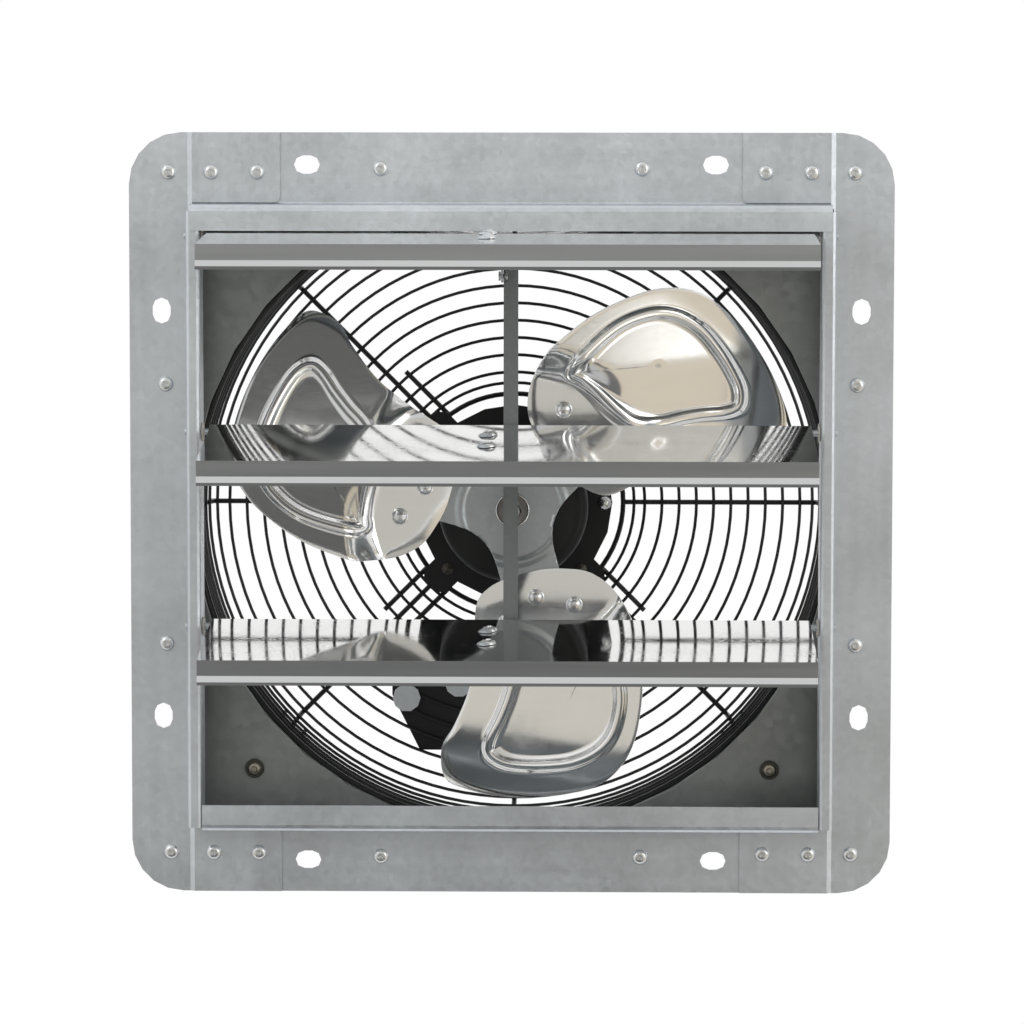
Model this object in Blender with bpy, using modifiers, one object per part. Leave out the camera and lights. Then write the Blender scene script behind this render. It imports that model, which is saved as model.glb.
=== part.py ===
"""Wall exhaust fan with three gravity shutters on its outlet side.

Metres, +Z up. The origin is the centre of the wall opening in the plane of the wall face.
-Y is outdoors, where the shutters are, and +Y is indoors, where the motor hangs in its guard.
"""
import math

import bmesh
import bpy
from mathutils import Matrix, Vector

# Clearances and sheet thicknesses
GAP = 0.0003
OVERRUN = 0.004
SHAPE_MERGE = 0.000005
FINAL_MERGE = 0.000002
SHARP_ANGLE = 35.0
FRAME_SHEET = 0.0012
SLEEVE_SHEET = 0.0010
PANEL_SHEET = 0.0012
BEND_RADIUS = 0.0016
BEND_STEPS = 2
CORNER_STEPS = 5

# Front frame: a flange of four joggled pieces round a raised rim
FLANGE_SIZE = 0.500
FLANGE_CORNER_RADIUS = 0.034
RIM_WIDTH = 0.422
RIM_FACE = 0.0090
RIM_DEPTH = 0.025
RIM_INNER_DEPTH = 0.029
RIM_TOP = 0.2035
RIM_BOTTOM = -0.2070
SIDE_RIM_TOP = 0.1990
SIDE_RIM_BOTTOM = -0.2045
TOP_LIP_HEIGHT = 0.0172
BOTTOM_LIP_HEIGHT = 0.0175
LIP_BEND_RADIUS = 0.0046
LIP_BEND_STEPS = 3
CROSS_FRAME_WIDTH = 0.417
JOGGLE_OUTER = 0.2115
JOGGLE_RUN = 0.0030
TAB_END = 0.151
TAB_CLEARANCE = 0.0008
TAB_CORNER_RADIUS = 0.0040

# Slots for wall screws
SLOT_LENGTH = 0.0170
SLOT_WIDTH = 0.0120
SLOT_SPACING = 0.267
SLOT_LINE = 0.458

# Blind rivets of the frame
RIVET_HEAD_RADIUS = 0.0050
RIVET_HEAD_HEIGHT = 0.0019
RIVET_RIM = 0.0003
RIVET_SHANK_RADIUS = 0.0020
RIVET_STEPS = 8
DOME_SHOULDER_SHARE = 0.7
MID_RIVET_SPACING = 0.171
MID_RIVET_LINE = 0.453
CORNER_RIVET_LINE = 0.4483
TAB_RIVET_OUTER = 0.196
TAB_RIVET_INNER = 0.166

# Wall sleeve and the panel with the fan's orifice
SLEEVE_SIZE = 0.442
SLEEVE_FLANGE_SIZE = 0.472
SLEEVE_CORNER_RADIUS = 0.006
PANEL_DEPTH = 0.040
PANEL_RIM = 0.015
ORIFICE_RADIUS = 0.2140
ORIFICE_COLLAR = 0.0070
ORIFICE_STEPS = 36
FAN_AXIS_HEIGHT = -0.002

# Guard basket of welded wire
GUARD_DEPTH = 0.130
GUARD_BASE_DEPTH = 0.0520
GUARD_RADIUS = 0.2039
GUARD_BASE_RADIUS = 0.2125
RING_WIRE = 0.0011
HEAVY_WIRE = 0.0017
BASE_WIRE = 0.0024
HUB_RING_RADIUS = 0.0714
HUB_RING_PITCH = 0.0072
FIRST_RING_RADIUS = 0.0892
RING_PITCH = 0.0118
FLAT_RINGS = 10
SIDE_RINGS = 6
BACK_RING_STEPS = 20
SIDE_RING_STEPS = 24
HUB_RING_STEPS = 16
SMALL_RINGS = 4
WELD = 0.0004
FOOT_WELD = 0.0016
SPOKES = 8
ARM_OFFSET = 0.0103
ARM_LENGTH = 0.041
FOOT_WIDTH = 0.019
FOOT_BEND_STEPS = 6
FOOT_BOLT_SPREAD = 0.344

# Guard bolts
BOLT_RADIUS = 0.0025
BOLT_HEAD_RADIUS = 0.0047
BOLT_HEAD_HEIGHT = 0.0036
NUT_HEIGHT = 0.0040
WASHER_PLATE = 0.0240
WASHER_THICKNESS = 0.0010
BOLT_END = 0.0020
BOLT_STEPS = 8
HEXAGON_SIDES = 6

# Motor
MOTOR_FRONT = 0.0780
MOTOR_REAR = 0.1530
MOTOR_RADIUS = 0.0506
MOTOR_WALL = 0.0022
MOTOR_EDGE_RADIUS = 0.0060
MOTOR_PLATE_RADIUS = 0.0670
MOTOR_PLATE_THICKNESS = 0.0030
PLATE_ARC_STEPS = 4
LUG_RADIUS = 0.0820
LUG_WIDTH = 0.0220
LUG_SCREW_RADIUS = 0.0645
LUG_SCREW_SHANK = 0.0020
LUG_SCREW_HEAD = 0.0042
LUG_SCREW_HEAD_HEIGHT = 0.0022
CLAMP_WIDTH = 0.0150
CLAMP_THICKNESS = 0.0020
BEARING_RADIUS = 0.0110
BEARING_LENGTH = 0.0080
BEARING_WALL = 0.0025
STATOR_LENGTH = 0.0300
STATOR_BORE = 0.0285
ROTOR_RADIUS = 0.0277
ROTOR_LENGTH = 0.0280
SHAFT_RADIUS = 0.0050
SHAFT_STEPS = 12
RUNNING_CLEARANCE = 0.0004
TURN_STEPS = 16

# Fan rotor
HUB_DEPTH = 0.0600
SPIDER_THICKNESS = 0.0025
SPIDER_REACH = 0.0840
SPIDER_WAIST = 0.0296
SPIDER_SHOULDER = 0.0490
SPIDER_ARM_ANGLE = 23.0
SPIDER_RIB_WIDTH = 0.0080
SPIDER_RIB_LENGTH = 0.0220
SPIDER_RIB_START = 0.0200
SPIDER_RIB_HEIGHT = 0.0018
BOSS_RADIUS = 0.0140
BOSS_LENGTH = 0.0120
HUB_WASHER_RADIUS = 0.0112
HUB_NUT_RADIUS = 0.0085
HUB_NUT_HEIGHT = 0.0060
SHAFT_NOSE = 0.0040
BLADE_COUNT = 3
FIRST_BLADE_ANGLE = 45.0
BLADE_REACH = 0.1940
BLADE_THICKNESS = 0.0015
BLADE_PITCH = 18.0
BLADE_TWIST_START = 0.1020
BLADE_TWIST_END = 0.1360
BLADE_RIB_HEIGHT = 0.0035
BLADE_RIB_CENTRE = 0.1500
BLADE_RIB_LENGTH_SHARE = 0.50
BLADE_RIB_WIDTH_SHARE = 0.62
BLADE_OUTLINE_ANGLES = (0, -20, -32, -36, -33, -30, -29, -30, -32, -31, -24,
                        -14, -4, 6, 15, 23, 30, 36, 39, 36, 26, 13)
BLADE_OUTLINE_REACH_SHARES = (0.222, 0.237, 0.282, 0.340, 0.438, 0.541, 0.644, 0.747, 0.851, 0.928,
                              0.979, 1.000, 0.990, 0.948, 0.876, 0.784, 0.670, 0.557, 0.454, 0.351,
                              0.268, 0.232)
BLADE_RIB_TOE_SHARE = 0.14
BLADE_RIVET_INNER = 0.0596
BLADE_RIVET_OUTER = 0.0746
BLADE_RIVET_ANGLE = 18.0
BLADE_RIVET_HEAD = 0.0050
BLADE_RIVET_SHANK = 0.0022

# Shutters
SHUTTER_NAMES = ("top", "middle", "bottom")
SHUTTER_SLOPES = (3.3, 7.7, 7.0)
SHUTTER_TOP_PIVOT = 0.1826
SHUTTER_PITCH = 0.1278
PIVOT_SETBACK = 0.0140
SHUTTER_SHEET = 0.0008
SHUTTER_WIDTH = 0.3926
SHUTTER_CHORD = 0.116
SHUTTER_TAIL = 0.0050
SURFACE_RISE = 0.0034
CORNER_NIP = 0.0018
LIP_ROUND = 0.0020
LIP_FACE = 0.0100
LIP_FLARE = 0.0040
LIP_HEM = 0.0030
EAR_WIDTH = 0.0100
EAR_DROP = 0.0055
EAR_INSET = 0.0012
PIVOT_PIN_RADIUS = 0.0022
PIVOT_HEAD_RADIUS = 0.0032
PIVOT_HEAD_LENGTH = 0.0015
PIVOT_PROUD = 0.0022
BUSH_WALL = 0.0013
BUSH_FLANGE_RADIUS = 0.0062
BUSH_FLANGE_THICKNESS = 0.0012
BUSH_LENGTH = 0.0028

# Linkage between the shutters
LINK_BACK = 0.0080
LINK_DROP = 0.0260
ARM_FOOT_LEFT = -0.0225
ARM_FOOT_RIGHT = -0.0052
ARM_FOOT_LENGTH = 0.0760
ARM_FOOT_TAIL = 0.0020
ARM_SHEET = 0.0012
ARM_ROOT_LENGTH = 0.0220
EYE_RADIUS = 0.0042
EYE_STEPS = 8
PIN_HOLE_STEPS = 10
ARM_RIVET_X = -0.0155
ARM_RIVET_REAR = 0.031
ARM_RIVET_FRONT = 0.066
LINK_PIN_RADIUS = 0.0015
LINK_PIN_HEAD = 0.0030
LINK_PIN_HEAD_LENGTH = 0.0014
TIE_BAR_WIDTH = 0.0096
TIE_BAR_SHEET = 0.0012
TIE_BAR_SETBACK = 0.0054
TIE_BAR_END = 0.0065

# Junction box on the guard
BOX_X = -0.0560
BOX_TOP = -0.1080
BOX_KNEE = -0.1355
BOX_BOTTOM = -0.1735
BOX_WIDTH = 0.0560
BOX_FOOT_WIDTH = 0.0180
BOX_DEPTH = 0.0240
BOX_WALL = 0.0020
BOX_LID_THICKNESS = 0.0025
BOX_SCREW_RADIUS = 0.0018
BOX_CLAMP_RADIUS = 0.0096
BOX_CLAMP_THICKNESS = 0.0020
BOX_CLAMP_STEPS = 10
BOX_CLAMP_PLACES = ((-0.0740, -0.1370), (-0.0380, -0.1268))
GLAND_RADIUS = 0.0082
GLAND_LENGTH = 0.0130
GLAND_BORE = 0.0035
GLAND_NECK_SHARE = 0.7
GLAND_CHAMFER_SHARE = 0.7

# Planes and half sizes that follow
FLANGE_BACK = -(SLEEVE_SHEET + GAP)
FLANGE_FRONT = FLANGE_BACK - FRAME_SHEET
TAB_FRONT = FLANGE_FRONT - GAP - FRAME_SHEET
RIM_FRONT = FLANGE_FRONT - RIM_DEPTH
TOP_LIP_FRONT = RIM_FRONT - GAP - FRAME_SHEET
RIM_HALF = RIM_WIDTH / 2
RIM_INNER = RIM_HALF - RIM_FACE
PIVOT_Y = RIM_FRONT + PIVOT_SETBACK
SLEEVE_HALF = SLEEVE_SIZE / 2
PANEL_HALF = SLEEVE_HALF - SLEEVE_SHEET - GAP
PANEL_BACK = PANEL_DEPTH + PANEL_SHEET
SPOKE_DEPTH = GUARD_DEPTH + RING_WIRE + HEAVY_WIRE - WELD
PLATE_BACK = GUARD_DEPTH - HEAVY_WIRE - GAP
PLATE_FRONT = PLATE_BACK - MOTOR_PLATE_THICKNESS
FOOT_DEPTH = PANEL_BACK + GAP + HEAVY_WIRE
FOOT_BOLT = FOOT_BOLT_SPREAD / 2
PIN_TIP = RIM_HALF + PIVOT_PROUD
SHAFT_FRONT = HUB_DEPTH - GAP - WASHER_THICKNESS - HUB_NUT_HEIGHT - SHAFT_NOSE
COVER_SPLIT = MOTOR_FRONT + MOTOR_EDGE_RADIUS + BEARING_LENGTH
STATOR_MID = (COVER_SPLIT + PLATE_FRONT) / 2

# Turning of modelling planes: a flat outline (u, v) with depth w
FACING_FRONT = Matrix.Rotation(math.radians(90), 4, "X")
FACING_SIDE = Matrix(((0, 0, 1, 0), (1, 0, 0, 0), (0, 1, 0, 0), (0, 0, 0, 1)))
FACING_UP = Matrix.Identity(4)


def clear_scene():
    for item in list(bpy.data.objects):
        bpy.data.objects.remove(item)
    for old in list(bpy.data.collections):
        bpy.data.collections.remove(old)


def new_collection(name):
    collection = bpy.data.collections.new(name)
    bpy.context.scene.collection.children.link(collection)
    return collection


def surface(name, colour, roughness, metallic):
    """A plain material for one sub-part."""
    material = bpy.data.materials.new(name)
    material.use_nodes = True
    shader = material.node_tree.nodes["Principled BSDF"]
    shader.inputs["Base Color"].default_value = (*colour, 1.0)
    shader.inputs["Roughness"].default_value = roughness
    shader.inputs["Metallic"].default_value = metallic
    return material


GALVANISED = ((0.62, 0.65, 0.67), 0.42, 0.9)
DARK_PANEL = ((0.42, 0.44, 0.44), 0.45, 0.9)
POLISHED = ((0.86, 0.86, 0.86), 0.12, 1.0)
RIVET_METAL = ((0.72, 0.73, 0.74), 0.30, 1.0)
ZINC_SCREW = ((0.66, 0.62, 0.52), 0.35, 0.9)
BLACK_WIRE = ((0.015, 0.015, 0.016), 0.40, 0.0)
BLACK_MOTOR = ((0.020, 0.021, 0.021), 0.50, 0.0)
BLACK_PLASTIC = ((0.016, 0.016, 0.017), 0.55, 0.0)
PALE_NYLON = ((0.60, 0.61, 0.58), 0.50, 0.0)
STEEL_SHAFT = ((0.60, 0.60, 0.60), 0.30, 1.0)
STATOR_STEEL = ((0.35, 0.34, 0.33), 0.50, 0.8)


def finished_mesh(work, name):
    """Turn a bmesh into mesh data with merged points, outward faces and crisp edges."""
    bmesh.ops.remove_doubles(work, verts=work.verts, dist=FINAL_MERGE)
    bmesh.ops.recalc_face_normals(work, faces=work.faces)
    mesh = bpy.data.meshes.new(name)
    work.to_mesh(mesh)
    work.free()
    mesh.shade_smooth()
    mesh.set_sharp_from_angle(angle=math.radians(SHARP_ANGLE))
    return mesh


def evaluated_bmesh(item):
    """The mesh of a helper object with its modifiers, after which the helper is removed."""
    bpy.context.scene.collection.objects.link(item)
    graph = bpy.context.evaluated_depsgraph_get()
    mesh = bpy.data.meshes.new_from_object(item.evaluated_get(graph))
    work = bmesh.new()
    work.from_mesh(mesh)
    bpy.data.meshes.remove(mesh)
    bpy.data.objects.remove(item)
    return work


def joined(pieces):
    """Several separate shapes as one bmesh."""
    total = bmesh.new()
    for piece in pieces:
        spare = bpy.data.meshes.new("spare")
        piece.to_mesh(spare)
        piece.free()
        total.from_mesh(spare)
        bpy.data.meshes.remove(spare)
    return total


def moved(work, matrix):
    bmesh.ops.transform(work, matrix=matrix, verts=work.verts)
    return work


def shifted(work, x=0.0, y=0.0, z=0.0):
    return moved(work, Matrix.Translation((x, y, z)))


def copies(work, matrices):
    """Separate copies of one shape, one for each matrix."""
    return joined([moved(work.copy(), matrix) for matrix in matrices])


def flat_plate(outlines, low, high, facing):
    """A flat outline with holes, filled and extruded from low to high."""
    curve = bpy.data.curves.new("outline", "CURVE")
    curve.dimensions = "2D"
    curve.fill_mode = "BOTH"
    curve.extrude = (high - low) / 2
    for outline in outlines:
        spline = curve.splines.new("POLY")
        spline.points.add(len(outline) - 1)
        for point, place in zip(spline.points, outline):
            point.co = (place[0], place[1], 0.0, 1.0)
        spline.use_cyclic_u = True
    work = evaluated_bmesh(bpy.data.objects.new("outline", curve))
    bmesh.ops.remove_doubles(work, verts=work.verts, dist=SHAPE_MERGE)
    shifted(work, z=(low + high) / 2)
    return moved(work, facing)


def front_plate(outlines, front, back):
    """A plate in the XZ plane between two depths along Y."""
    return flat_plate(outlines, -back, -front, FACING_FRONT)


def side_plate(outlines, left, right):
    """A plate in the YZ plane between two places along X."""
    return flat_plate(outlines, left, right, FACING_SIDE)


def folded_sheet(profile, low, high, thickness, facing):
    """An open profile drawn along w and given its thickness about the middle line."""
    work = bmesh.new()
    points = [work.verts.new((place[0], place[1], low)) for place in profile]
    edges = [work.edges.new(pair) for pair in zip(points, points[1:])]
    grown = bmesh.ops.extrude_edge_only(work, edges=edges)["geom"]
    far = [item for item in grown if isinstance(item, bmesh.types.BMVert)]
    bmesh.ops.translate(work, verts=far, vec=(0.0, 0.0, high - low))
    mesh = bpy.data.meshes.new("sheet")
    work.to_mesh(mesh)
    work.free()
    sheet = bpy.data.objects.new("sheet", mesh)
    wall = sheet.modifiers.new("Wall", "SOLIDIFY")
    wall.thickness = thickness
    wall.offset = 0.0
    wall.use_even_offset = True
    return moved(evaluated_bmesh(sheet), facing)


def turned(profile, steps, closed=False):
    """A profile of (radius, height) points turned about Z."""
    work = bmesh.new()
    points = [work.verts.new((radius, 0.0, height)) for radius, height in profile]
    for pair in zip(points, points[1:]):
        work.edges.new(pair)
    if closed:
        work.edges.new((points[-1], points[0]))
    mesh = bpy.data.meshes.new("profile")
    work.to_mesh(mesh)
    work.free()
    lathe = bpy.data.objects.new("profile", mesh)
    screw = lathe.modifiers.new("Turn", "SCREW")
    screw.axis = "Z"
    screw.steps = steps
    screw.render_steps = steps
    screw.use_merge_vertices = True
    screw.merge_threshold = SHAPE_MERGE
    return evaluated_bmesh(lathe)


def ring_profile(inner, outer, low, high):
    """The closed section of a plain ring, top to bottom down its outer side."""
    return [(outer, high), (outer, low), (inner, low), (inner, high)]


def wire(points, radius, cyclic=False, resolution=0):
    """A round wire along a list of points."""
    curve = bpy.data.curves.new("wire", "CURVE")
    curve.dimensions = "3D"
    curve.bevel_depth = radius
    curve.bevel_resolution = resolution
    curve.use_fill_caps = not cyclic
    spline = curve.splines.new("POLY")
    spline.points.add(len(points) - 1)
    for point, place in zip(spline.points, points):
        point.co = (*place, 1.0)
    spline.use_cyclic_u = cyclic
    work = evaluated_bmesh(bpy.data.objects.new("wire", curve))
    bmesh.ops.remove_doubles(work, verts=work.verts, dist=SHAPE_MERGE)
    return work


def arc(centre, radius, start, end, steps):
    """Points on a circle from one angle to another, in degrees."""
    angles = [math.radians(start + (end - start) * step / steps) for step in range(steps + 1)]
    return [(centre[0] + radius * math.cos(angle), centre[1] + radius * math.sin(angle))
            for angle in angles]


def circle(centre, radius, steps):
    return arc(centre, radius, 0, 360, steps)[:-1]


def slot(centre, length, width, upright, steps=4):
    """The outline of a slot with round ends."""
    reach = (length - width) / 2
    right = arc((reach, 0), width / 2, -90, 90, steps)
    left = arc((-reach, 0), width / 2, 90, 270, steps)
    points = right + left
    if upright:
        points = [(-v, u) for u, v in points]
    return [(centre[0] + u, centre[1] + v) for u, v in points]


def rounded(points, radii, closed=True, steps=4):
    """A polygon or path whose corners are rounded, each by its own radius."""
    result = []
    count = len(points)
    for index, radius in enumerate(radii):
        corner = Vector(points[index])
        is_end = not closed and index in (0, count - 1)
        if radius == 0 or is_end:
            result.append(tuple(corner))
            continue
        before = (Vector(points[index - 1]) - corner).normalized()
        after = (Vector(points[(index + 1) % count]) - corner).normalized()
        half = before.angle(after) / 2
        middle = corner + (before + after).normalized() * radius / math.sin(half)
        start = corner + before * radius / math.tan(half) - middle
        end = corner + after * radius / math.tan(half) - middle
        for step in range(steps + 1):
            result.append(tuple(middle + start.slerp(end, step / steps).normalized() * radius))
    return result


def rectangle(left, right, low, high, radius=0.0, steps=4):
    corners = [(left, low), (right, low), (right, high), (left, high)]
    return rounded(corners, [radius] * len(corners), True, steps)


def box(low, high):
    work = bmesh.new()
    bmesh.ops.create_cube(work, size=1.0)
    middle = (Vector(low) + Vector(high)) / 2
    size = Vector(high) - Vector(low)
    return moved(work, Matrix.Translation(middle) @ Matrix.Diagonal((*size, 1.0)))


def rod(radius, low, high, steps):
    """A plain cylinder along Z from low to high."""
    work = bmesh.new()
    bmesh.ops.create_cone(work, cap_ends=True, segments=steps, radius1=radius, radius2=radius,
                          depth=high - low)
    return shifted(work, z=(low + high) / 2)


def turn_about_fan(angle):
    """Turn about the fan's axis, in degrees, anticlockwise seen from the front."""
    return Matrix.Rotation(math.radians(-angle), 4, "Y")


def on_fan_axis():
    return Matrix.Translation((0.0, 0.0, FAN_AXIS_HEIGHT))


class Assembly:
    """Collects the sub-parts, their carriers and the shapes that cut or join them."""

    def __init__(self, name):
        self.parts = new_collection(name)
        self.tools = new_collection(name + "_tools")

    def carrier(self, name, place):
        empty = bpy.data.objects.new(name, None)
        empty.location = place
        self.parts.objects.link(empty)
        return empty

    def add(self, name, work, look, carrier=None):
        part = bpy.data.objects.new(name, finished_mesh(work, name))
        part.data.materials.append(surface(name, *look))
        self.parts.objects.link(part)
        self.hang(part, carrier)
        return part

    def hang(self, item, carrier):
        """Parent to a carrier, keeping the mesh in the frame of the whole fan."""
        if carrier is None:
            return
        item.parent = carrier
        item.data.transform(Matrix.Translation(-carrier.location))

    def shape(self, part, operation, work):
        """Join, cut or trim a part by another closed shape."""
        name = part.name + "_" + operation.lower() + str(len(part.modifiers))
        tool = bpy.data.objects.new(name, finished_mesh(work, name))
        tool.hide_render = True
        tool.display_type = "WIRE"
        self.tools.objects.link(tool)
        self.hang(tool, part.parent)
        step = part.modifiers.new(operation.title(), "BOOLEAN")
        step.operation = operation
        step.solver = "EXACT"
        step.object = tool


def both_signs(first, second):
    return [(a * first, b * second) for a in (-1, 1) for b in (-1, 1)]


def slot_places():
    """Each wall-screw slot as (x, z, stands upright)."""
    level = [(x, z, False) for x, z in both_signs(SLOT_SPACING / 2, SLOT_LINE / 2)]
    upright = [(x, z, True) for x, z in both_signs(SLOT_LINE / 2, SLOT_SPACING / 2)]
    return level + upright


def mid_rivet_places():
    level = both_signs(MID_RIVET_SPACING / 2, MID_RIVET_LINE / 2)
    upright = both_signs(MID_RIVET_LINE / 2, MID_RIVET_SPACING / 2)
    return level + upright


def corner_rivet_places():
    return both_signs(CORNER_RIVET_LINE / 2, CORNER_RIVET_LINE / 2)


def tab_rivet_places():
    outer = both_signs(TAB_RIVET_OUTER, CORNER_RIVET_LINE / 2)
    return outer + both_signs(TAB_RIVET_INNER, CORNER_RIVET_LINE / 2)


def slot_outlines():
    return [slot((x, z), SLOT_LENGTH, SLOT_WIDTH, upright) for x, z, upright in slot_places()]


def rivet_holes(places):
    return [circle(place, RIVET_SHANK_RADIUS + GAP, RIVET_STEPS) for place in places]


def all_within(left, right, low, high):
    """True for a list of (x, z) points that lies inside a rectangle."""
    return lambda points: all(left < x < right and low < z < high for x, z in points)


def side_flange_outline():
    """Silhouette of the right flange with its two joggled tabs."""
    half = FLANGE_SIZE / 2
    tab_top = RIM_TOP + TAB_CLEARANCE
    tab_bottom = RIM_BOTTOM - TAB_CLEARANCE
    notch = JOGGLE_OUTER - JOGGLE_RUN
    root = RIM_HALF - FRAME_SHEET / 2
    points = [(TAB_END, half), (TAB_END, tab_top), (notch, tab_top), (notch, SIDE_RIM_TOP + BEND_RADIUS),
              (root, SIDE_RIM_TOP + BEND_RADIUS), (root, SIDE_RIM_BOTTOM - BEND_RADIUS),
              (notch, SIDE_RIM_BOTTOM - BEND_RADIUS), (notch, tab_bottom), (TAB_END, tab_bottom),
              (TAB_END, -half), (half, -half), (half, half)]
    radii = [0, TAB_CORNER_RADIUS, 0, 0, 0, 0, 0, 0, TAB_CORNER_RADIUS, 0,
             FLANGE_CORNER_RADIUS, FLANGE_CORNER_RADIUS]
    return rounded(points, radii, True, CORNER_STEPS)


def flange_sheet():
    """Full-height flange whose inner strip joggles forward, where its tabs lap the cross frames."""
    middle = FLANGE_BACK - FRAME_SHEET / 2
    lapped = middle - FRAME_SHEET - GAP
    reach = FLANGE_SIZE / 2 + OVERRUN
    profile = [(reach, middle), (JOGGLE_OUTER, middle), (JOGGLE_OUTER - JOGGLE_RUN, lapped),
               (TAB_END - OVERRUN, lapped)]
    return folded_sheet(profile, -reach, reach, FRAME_SHEET, FACING_UP)


def rim_channel():
    """Raised rim of a side frame piece, rooted in the flange's thickness."""
    outer = RIM_HALF - FRAME_SHEET / 2
    inner = RIM_INNER + FRAME_SHEET / 2
    front = RIM_FRONT + FRAME_SHEET / 2
    corners = [(outer, FLANGE_BACK - FRAME_SHEET / 2), (outer, front), (inner, front),
               (inner, RIM_FRONT + RIM_INNER_DEPTH)]
    profile = rounded(corners, [0, BEND_RADIUS, BEND_RADIUS, 0], False, BEND_STEPS)
    return folded_sheet(profile, SIDE_RIM_BOTTOM, SIDE_RIM_TOP, FRAME_SHEET, FACING_UP)


def pivot_heights():
    return [SHUTTER_TOP_PIVOT - SHUTTER_PITCH * index for index in range(len(SHUTTER_NAMES))]


def along_x(work):
    """Lay a shape that stands on Z along +X."""
    return moved(work, Matrix.Rotation(math.radians(90), 4, "Y"))


def pivot_holes(sign):
    """Round cutters for the bushes in the inner wall and the pins in the outer wall."""
    bush = PIVOT_PIN_RADIUS + RUNNING_CLEARANCE + BUSH_WALL + GAP
    inner_wall = (RIM_INNER - OVERRUN, RIM_INNER + FRAME_SHEET + BEND_RADIUS)
    outer_wall = (RIM_HALF - FRAME_SHEET - BEND_RADIUS, RIM_HALF + OVERRUN)
    pieces = []
    for height in pivot_heights():
        wide = along_x(rod(bush, *inner_wall, BOLT_STEPS))
        narrow = along_x(rod(PIVOT_PIN_RADIUS + RUNNING_CLEARANCE, *outer_wall, BOLT_STEPS))
        pieces += [shifted(wide, y=PIVOT_Y, z=height), shifted(narrow, y=PIVOT_Y, z=height)]
    return moved(joined(pieces), Matrix.Diagonal((sign, 1, 1, 1)))


def make_side_frame(fan, name, sign):
    half = FLANGE_SIZE / 2
    flip = Matrix.Diagonal((sign, 1, 1, 1))
    part = fan.add(name, moved(flange_sheet(), flip), GALVANISED)
    slots = list(filter(all_within(RIM_HALF, half, -half, half), slot_outlines()))
    silhouette = front_plate([side_flange_outline()] + slots, TAB_FRONT - OVERRUN, OVERRUN)
    fan.shape(part, "INTERSECT", moved(silhouette, flip))
    fan.shape(part, "UNION", moved(rim_channel(), flip))
    fan.shape(part, "DIFFERENCE", pivot_holes(sign))
    lapped = [place for place in tab_rivet_places() if place[0] * sign > 0]
    single = [place for place in corner_rivet_places() + mid_rivet_places() if place[0] * sign > RIM_HALF]
    fan.shape(part, "UNION", joined([rivets_at(lapped, TAB_FRONT), rivets_at(single, FLANGE_FRONT)]))


def make_cross_frame(fan, name, sign, edge, lip_height, lip_front):
    """The top or bottom frame piece: flange, rim wall and front lip, folded along X."""
    half = FLANGE_SIZE / 2
    middle = FLANGE_BACK - FRAME_SHEET / 2
    wall = edge - sign * FRAME_SHEET / 2
    front = lip_front + FRAME_SHEET / 2
    corners = [(middle, sign * half), (middle, wall), (front, wall), (front, edge - sign * lip_height)]
    radii = [0, BEND_RADIUS, LIP_BEND_RADIUS - FRAME_SHEET / 2, 0]
    profile = rounded(corners, radii, False, LIP_BEND_STEPS)
    width = CROSS_FRAME_WIDTH if sign > 0 else 2 * (RIM_INNER - GAP)
    reach = CROSS_FRAME_WIDTH / 2
    part = fan.add(name, folded_sheet(profile, -reach, reach, FRAME_SHEET, FACING_SIDE), GALVANISED)
    inside = all_within(-reach, reach, *sorted((sign * half, edge)))
    tabs = [place for place in tab_rivet_places() if place[1] * sign > 0]
    cutters = [front_plate([outline], FLANGE_FRONT - OVERRUN, FLANGE_BACK + OVERRUN)
               for outline in list(filter(inside, slot_outlines())) + rivet_holes(tabs)]
    if width < CROSS_FRAME_WIDTH:
        rear = FLANGE_FRONT - GAP - BEND_RADIUS
        for side in (-1, 1):
            near, far = sorted((side * width / 2, side * (reach + OVERRUN)))
            cutters.append(box((near, lip_front - OVERRUN, edge - OVERRUN),
                               (far, rear, edge + lip_height + OVERRUN)))
    fan.shape(part, "DIFFERENCE", joined(cutters))
    middle_rivets = [place for place in mid_rivet_places() if place[1] * sign > RIM_TOP]
    fan.shape(part, "UNION", rivets_at(middle_rivets, FLANGE_FRONT))


def rivet_head(radius, shank, sheet):
    """Profile of a low dome that is set into a sheet whose face is at 0."""
    shoulder = (radius * DOME_SHOULDER_SHARE, RIVET_HEAD_HEIGHT * DOME_SHOULDER_SHARE)
    return [(0.0, RIVET_HEAD_HEIGHT), shoulder, (radius, RIVET_RIM), (shank, -sheet / 2)]


def rivet(stack, sheet):
    """A domed rivet on Z whose shank goes down to the end of the stack."""
    profile = rivet_head(RIVET_HEAD_RADIUS, RIVET_SHANK_RADIUS, sheet)
    profile += [(RIVET_SHANK_RADIUS, -stack), (0.0, -stack)]
    return turned(profile, RIVET_STEPS)


def facing_front_at(x, y, z):
    """Place a shape that stands on +Z so that it faces the front."""
    return Matrix.Translation((x, y, z)) @ FACING_FRONT


def rivets_at(places, front):
    """Frame rivets whose sheet has its face at a given depth; their ends are flush with the wall face."""
    return copies(rivet(-front, FRAME_SHEET), [facing_front_at(x, front, z) for x, z in places])


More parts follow.
